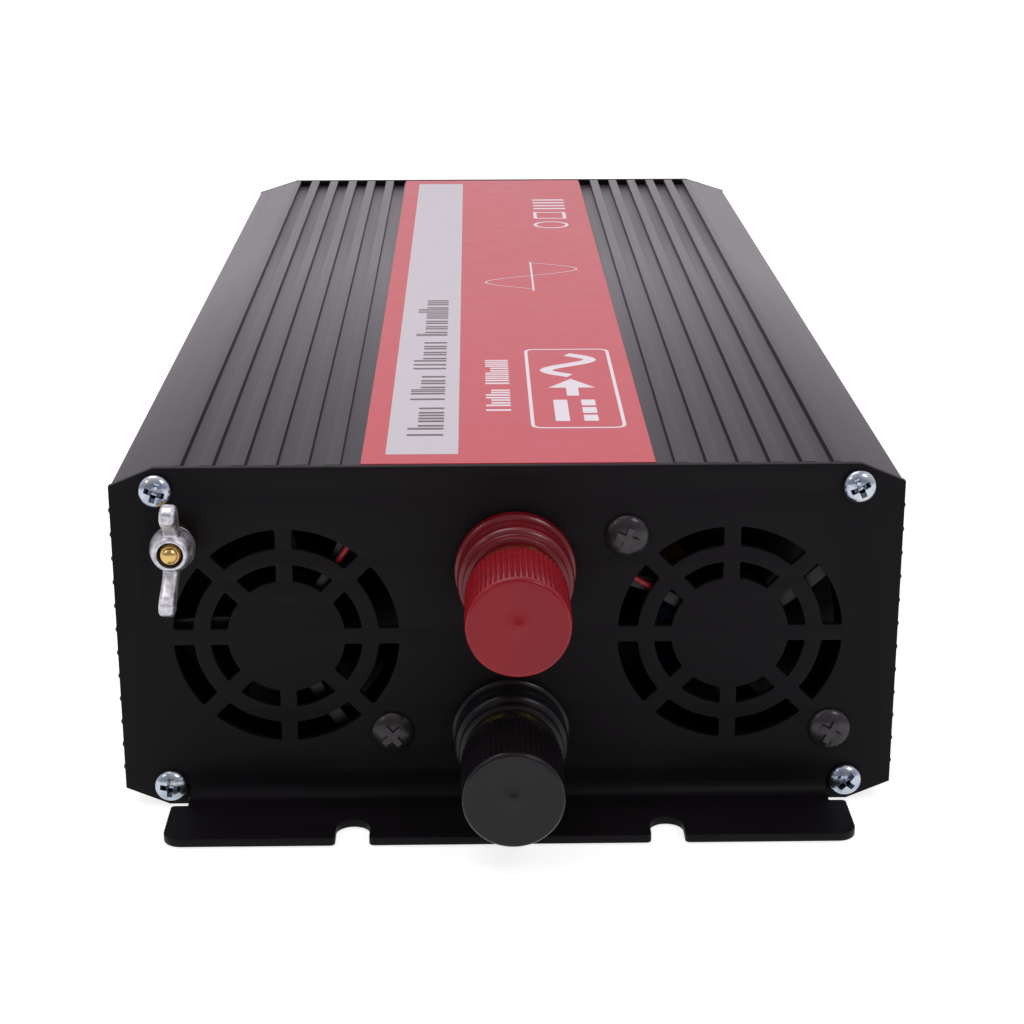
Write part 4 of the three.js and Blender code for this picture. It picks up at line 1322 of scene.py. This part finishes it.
def add_prints():
    wave_axis = rectangle(10.9, 187.5, 11.5, 231.5)
    wave_curve = stroke(sine_wave(11.2, 190, 40, 15, 72), 0.5)
    label_print("greek_words", ink(placeholder_words(BAND_WORDS, BAND_LINE)), LABEL_GREY, 2)
    label_print("greek_line", ink(placeholder_words(SMALL_WORDS, SMALL_LINE)), LABEL_WHITE)
    label_print("rating_frame", ink(outline_box(6.3, 31.5, 30.0, 112, 3.4, 0.9)), LABEL_WHITE)
    label_print("rating_symbols", ink(rating_symbols()), LABEL_WHITE)
    label_print("wave_axis", ink([wave_axis]), LABEL_WHITE)
    label_print("wave_curve", ink([wave_curve]), LABEL_WHITE, 2)
    label_print("plain_marks", ink(plain_marks()), LABEL_WHITE)


add_label()
add_prints()


# --- Mains end ---------------------------------------------------------------------------------


SOCKET_FACE = CASE_LENGTH + 2.3
SOCKET_FLOOR = SOCKET_FACE - 17.5
PIN_X = 9.5
PIN_R = 2.6


def socket_mesh():
    """A round two-pin socket with its well, its pin holes and the gaps for the earth clips."""
    face, floor = SOCKET_FACE, SOCKET_FLOOR
    back = CASE_LENGTH - 30
    body = lathe(
        [
            (0, back), (22.0, back), (22.3, back + 0.3), (22.3, CASE_LENGTH + 0.3), (24.8, CASE_LENGTH + 0.3),
            (25.0, CASE_LENGTH + 0.5), (25.0, face - 0.7), (24.3, face), (20.6, face), (19.9, face - 0.4),
            (19.7, face - 1.0), (19.7, floor + 0.6), (19.1, floor), (4.6, floor),
            (4.3, floor + 0.3), (0, floor + 0.3),
        ],
        96,
    )
    tools = []
    funnel = [(0, floor - 1.2), (PIN_R, floor - 1.2), (4.0, floor + 0.2), (4.0, floor + 1), (0, floor + 1)]
    for side in (-1, 1):
        tools.append(shifted(rod(PIN_R, back - 1, face, 0, 32), x=side * PIN_X))
        tools.append(shifted(lathe(funnel, 32), x=side * PIN_X))
        tools.append(brick((-2.4, floor - 3, side * 18.0 - 2.6), (2.4, face - 2.5, side * 18.0 + 2.6), 0.2))
    return cut(body, *tools)


def earth_clip(side):
    """A springy strip in the wall of the socket, at its top or bottom."""
    bends = ((-2.5, 20.0), (2, 19.2), (8, 17.2), (12.5, 18.9), (13.2, 20.0))
    thickness, width = 0.6, 3.4
    outer = [(SOCKET_FLOOR + y, z) for y, z in bends]
    inner = [(y, z - thickness) for y, z in outer]
    strip = shifted(plate_of([outer + inner[::-1]], width, 0.08, 1), z=-width / 2)
    upright = Matrix(((0, 0, 1, 0), (1, 0, 0, 0), (0, 1, 0, 0), (0, 0, 0, 1)))
    strip = moved(strip, upright)
    return moved(strip, Matrix.Scale(-1, 4, (0, 0, 1))) if side < 0 else strip


def add_sockets():
    for name, at in zip(("outer", "inner"), SOCKETS):
        here = (at.x, 0, at.z)
        node = f"mains_socket_{name}"
        place(f"socket_{name}", socket_mesh(), SOCKET_PLASTIC, "case", here, [node])
        clips = joined(earth_clip(1), earth_clip(-1))
        place(f"socket_{name}_earth_clips", clips, BRASS, "case", here)
        middle = screw_mesh(3.6, 1.6, 1.4, 8, 0.5, 3.6)
        middle = turned_about(turned_about(middle, "Y", 25), "Z", 180)
        seat = (at.x, SOCKET_FLOOR + 0.35, at.z)
        place(f"socket_{name}_screw", middle, ZINC, "case", seat, angle=38)


def switch_housing():
    low, high = case_box("switch_housing")
    half_x, half_z = (high.x - low.x) / 2, (high.z - low.z) / 2
    rim = wall_of([rectangle(-half_x, -half_z, half_x, half_z, 2.0, 6)], CASE_LENGTH + 0.3, high.y, 0.5, 3)
    body = brick((-13, low.y, -9), (13, CASE_LENGTH + 1, 9), 0.4)
    well = brick((-10.5, low.y + 2, -7.5), (10.5, CASE_LENGTH + 6, 7.5), 0.3)
    return cut(union(rim, body), well)


ROCKER_TILT = 8
ROCKER_HOLLOW = 1.1


def switch_rocker():
    length, height = 18.6, 14.2
    shares = [i / 16 for i in range(17)]
    face = [(length * (share - 0.5), 3.4 - ROCKER_HOLLOW * (1 - (2 * share - 1) ** 2)) for share in shares]
    outline = [*face[::-1], (-length / 2, -2), (-4, -8), (4, -8), (length / 2, -2)]
    body = shifted(plate_of([outline], height, 0.5, 3), z=-height / 2)
    marks = joined(
        ink_on_rocker(outline_box(-6.4, -1.9, -2.6, 1.9, 1.8, 0.55)),
        ink_on_rocker([rectangle(4.2, -1.7, 4.8, 1.7)]),
    )
    return turned_about(body, "Z", ROCKER_TILT), turned_about(marks, "Z", ROCKER_TILT)


def ink_on_rocker(loops):
    """A mark raised a little from the hollowed face of the rocker."""
    mark = shifted(moved(plate_of(loops, 0.5), XZ_FROM_XY), y=2.25)
    for vert in mark.vertices:
        across = vert.co.x / 9.3
        vert.co.y += ROCKER_HOLLOW * across * across
    return mark


def light_mesh():
    face = CASE_LENGTH + 0.3
    return lathe(
        [
            (0, CASE_LENGTH - 6), (2.3, CASE_LENGTH - 6), (2.4, CASE_LENGTH - 5.9), (2.4, face),
            (3.1, face), (3.2, face + 0.15), (3.1, face + 0.5), (2.35, face + 0.6), (2.25, face + 1.2),
            (1.8, face + 1.75), (1.0, face + 2.1), (0, face + 2.2),
        ],
        48,
    )


def add_mains_end():
    add_sockets()
    here = (SWITCH.x, 0, SWITCH.z)
    place("switch_case", switch_housing(), SOCKET_PLASTIC, "case", here, ["switch_housing"])
    body, marks = switch_rocker()
    pivot = (SWITCH.x, CASE_LENGTH - 2, SWITCH.z)
    place("switch_key", body, ROCKER_PLASTIC, "power_rocker", pivot, ["switch_rocker"])
    place("switch_marks", marks, LABEL_WHITE, "power_rocker", pivot)
    for name, at, lens in (("power", LIGHTS[0], GREEN_LENS), ("fault", LIGHTS[1], RED_LENS)):
        place(f"{name}_lamp", light_mesh(), lens, "case", (at.x, 0, at.z), [f"{name}_light"])


add_mains_end()


# --- Inside of the case ------------------------------------------------------------------------


def finish_inner_nodes():
    looks = {
        "main_board": BOARD, "driver_board": BOARD, "insulating_sheet": CARD,
        "transformer_core_left": FERRITE, "transformer_core_right": FERRITE,
        "transformer_winding_left": TAPE, "transformer_winding_right": TAPE,
        "heat_bar_left": BAR, "heat_bar_right": BAR, "fuse_left": FUSE_BODY, "fuse_right": FUSE_BODY,
        "bus_capacitor_1": SLEEVE, "bus_capacitor_2": SLEEVE, "output_choke": COPPER,
        "red_busbar": COPPER, "black_busbar": COPPER,
    }
    for node, material in looks.items():
        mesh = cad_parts[node].data
        mesh.materials.clear()
        mesh.materials.append(material)


finish_inner_nodes()


# --- Floor and size ----------------------------------------------------------------------------


# The floor glows a little, so that it stays white round the object and keeps only a soft shadow.
FLOOR_GLOW = 0.78
FLOOR_HALF = 6.0
FLOOR_DROP = 0.0004


def add_floor():
    look = Look("floor_white", (0.45, 0.445, 0.45), 0.8, Specular_IOR_Level=0.0)
    look.set("Emission Color", (1, 1, 1, 1))
    look.set("Emission Strength", FLOOR_GLOW)
    look.tint(look.noise(3, 2), 0.004)
    corners = rectangle(-FLOOR_HALF, -FLOOR_HALF, FLOOR_HALF, FLOOR_HALF)
    mesh = mesh_from([(x, y, 0) for x, y in corners], [(0, 1, 2, 3)])
    mesh.materials.append(look.material)
    floor = bpy.data.objects.new("floor", mesh)
    floor.location.z = -FLOOR_DROP
    bpy.context.scene.collection.objects.link(floor)


add_floor()
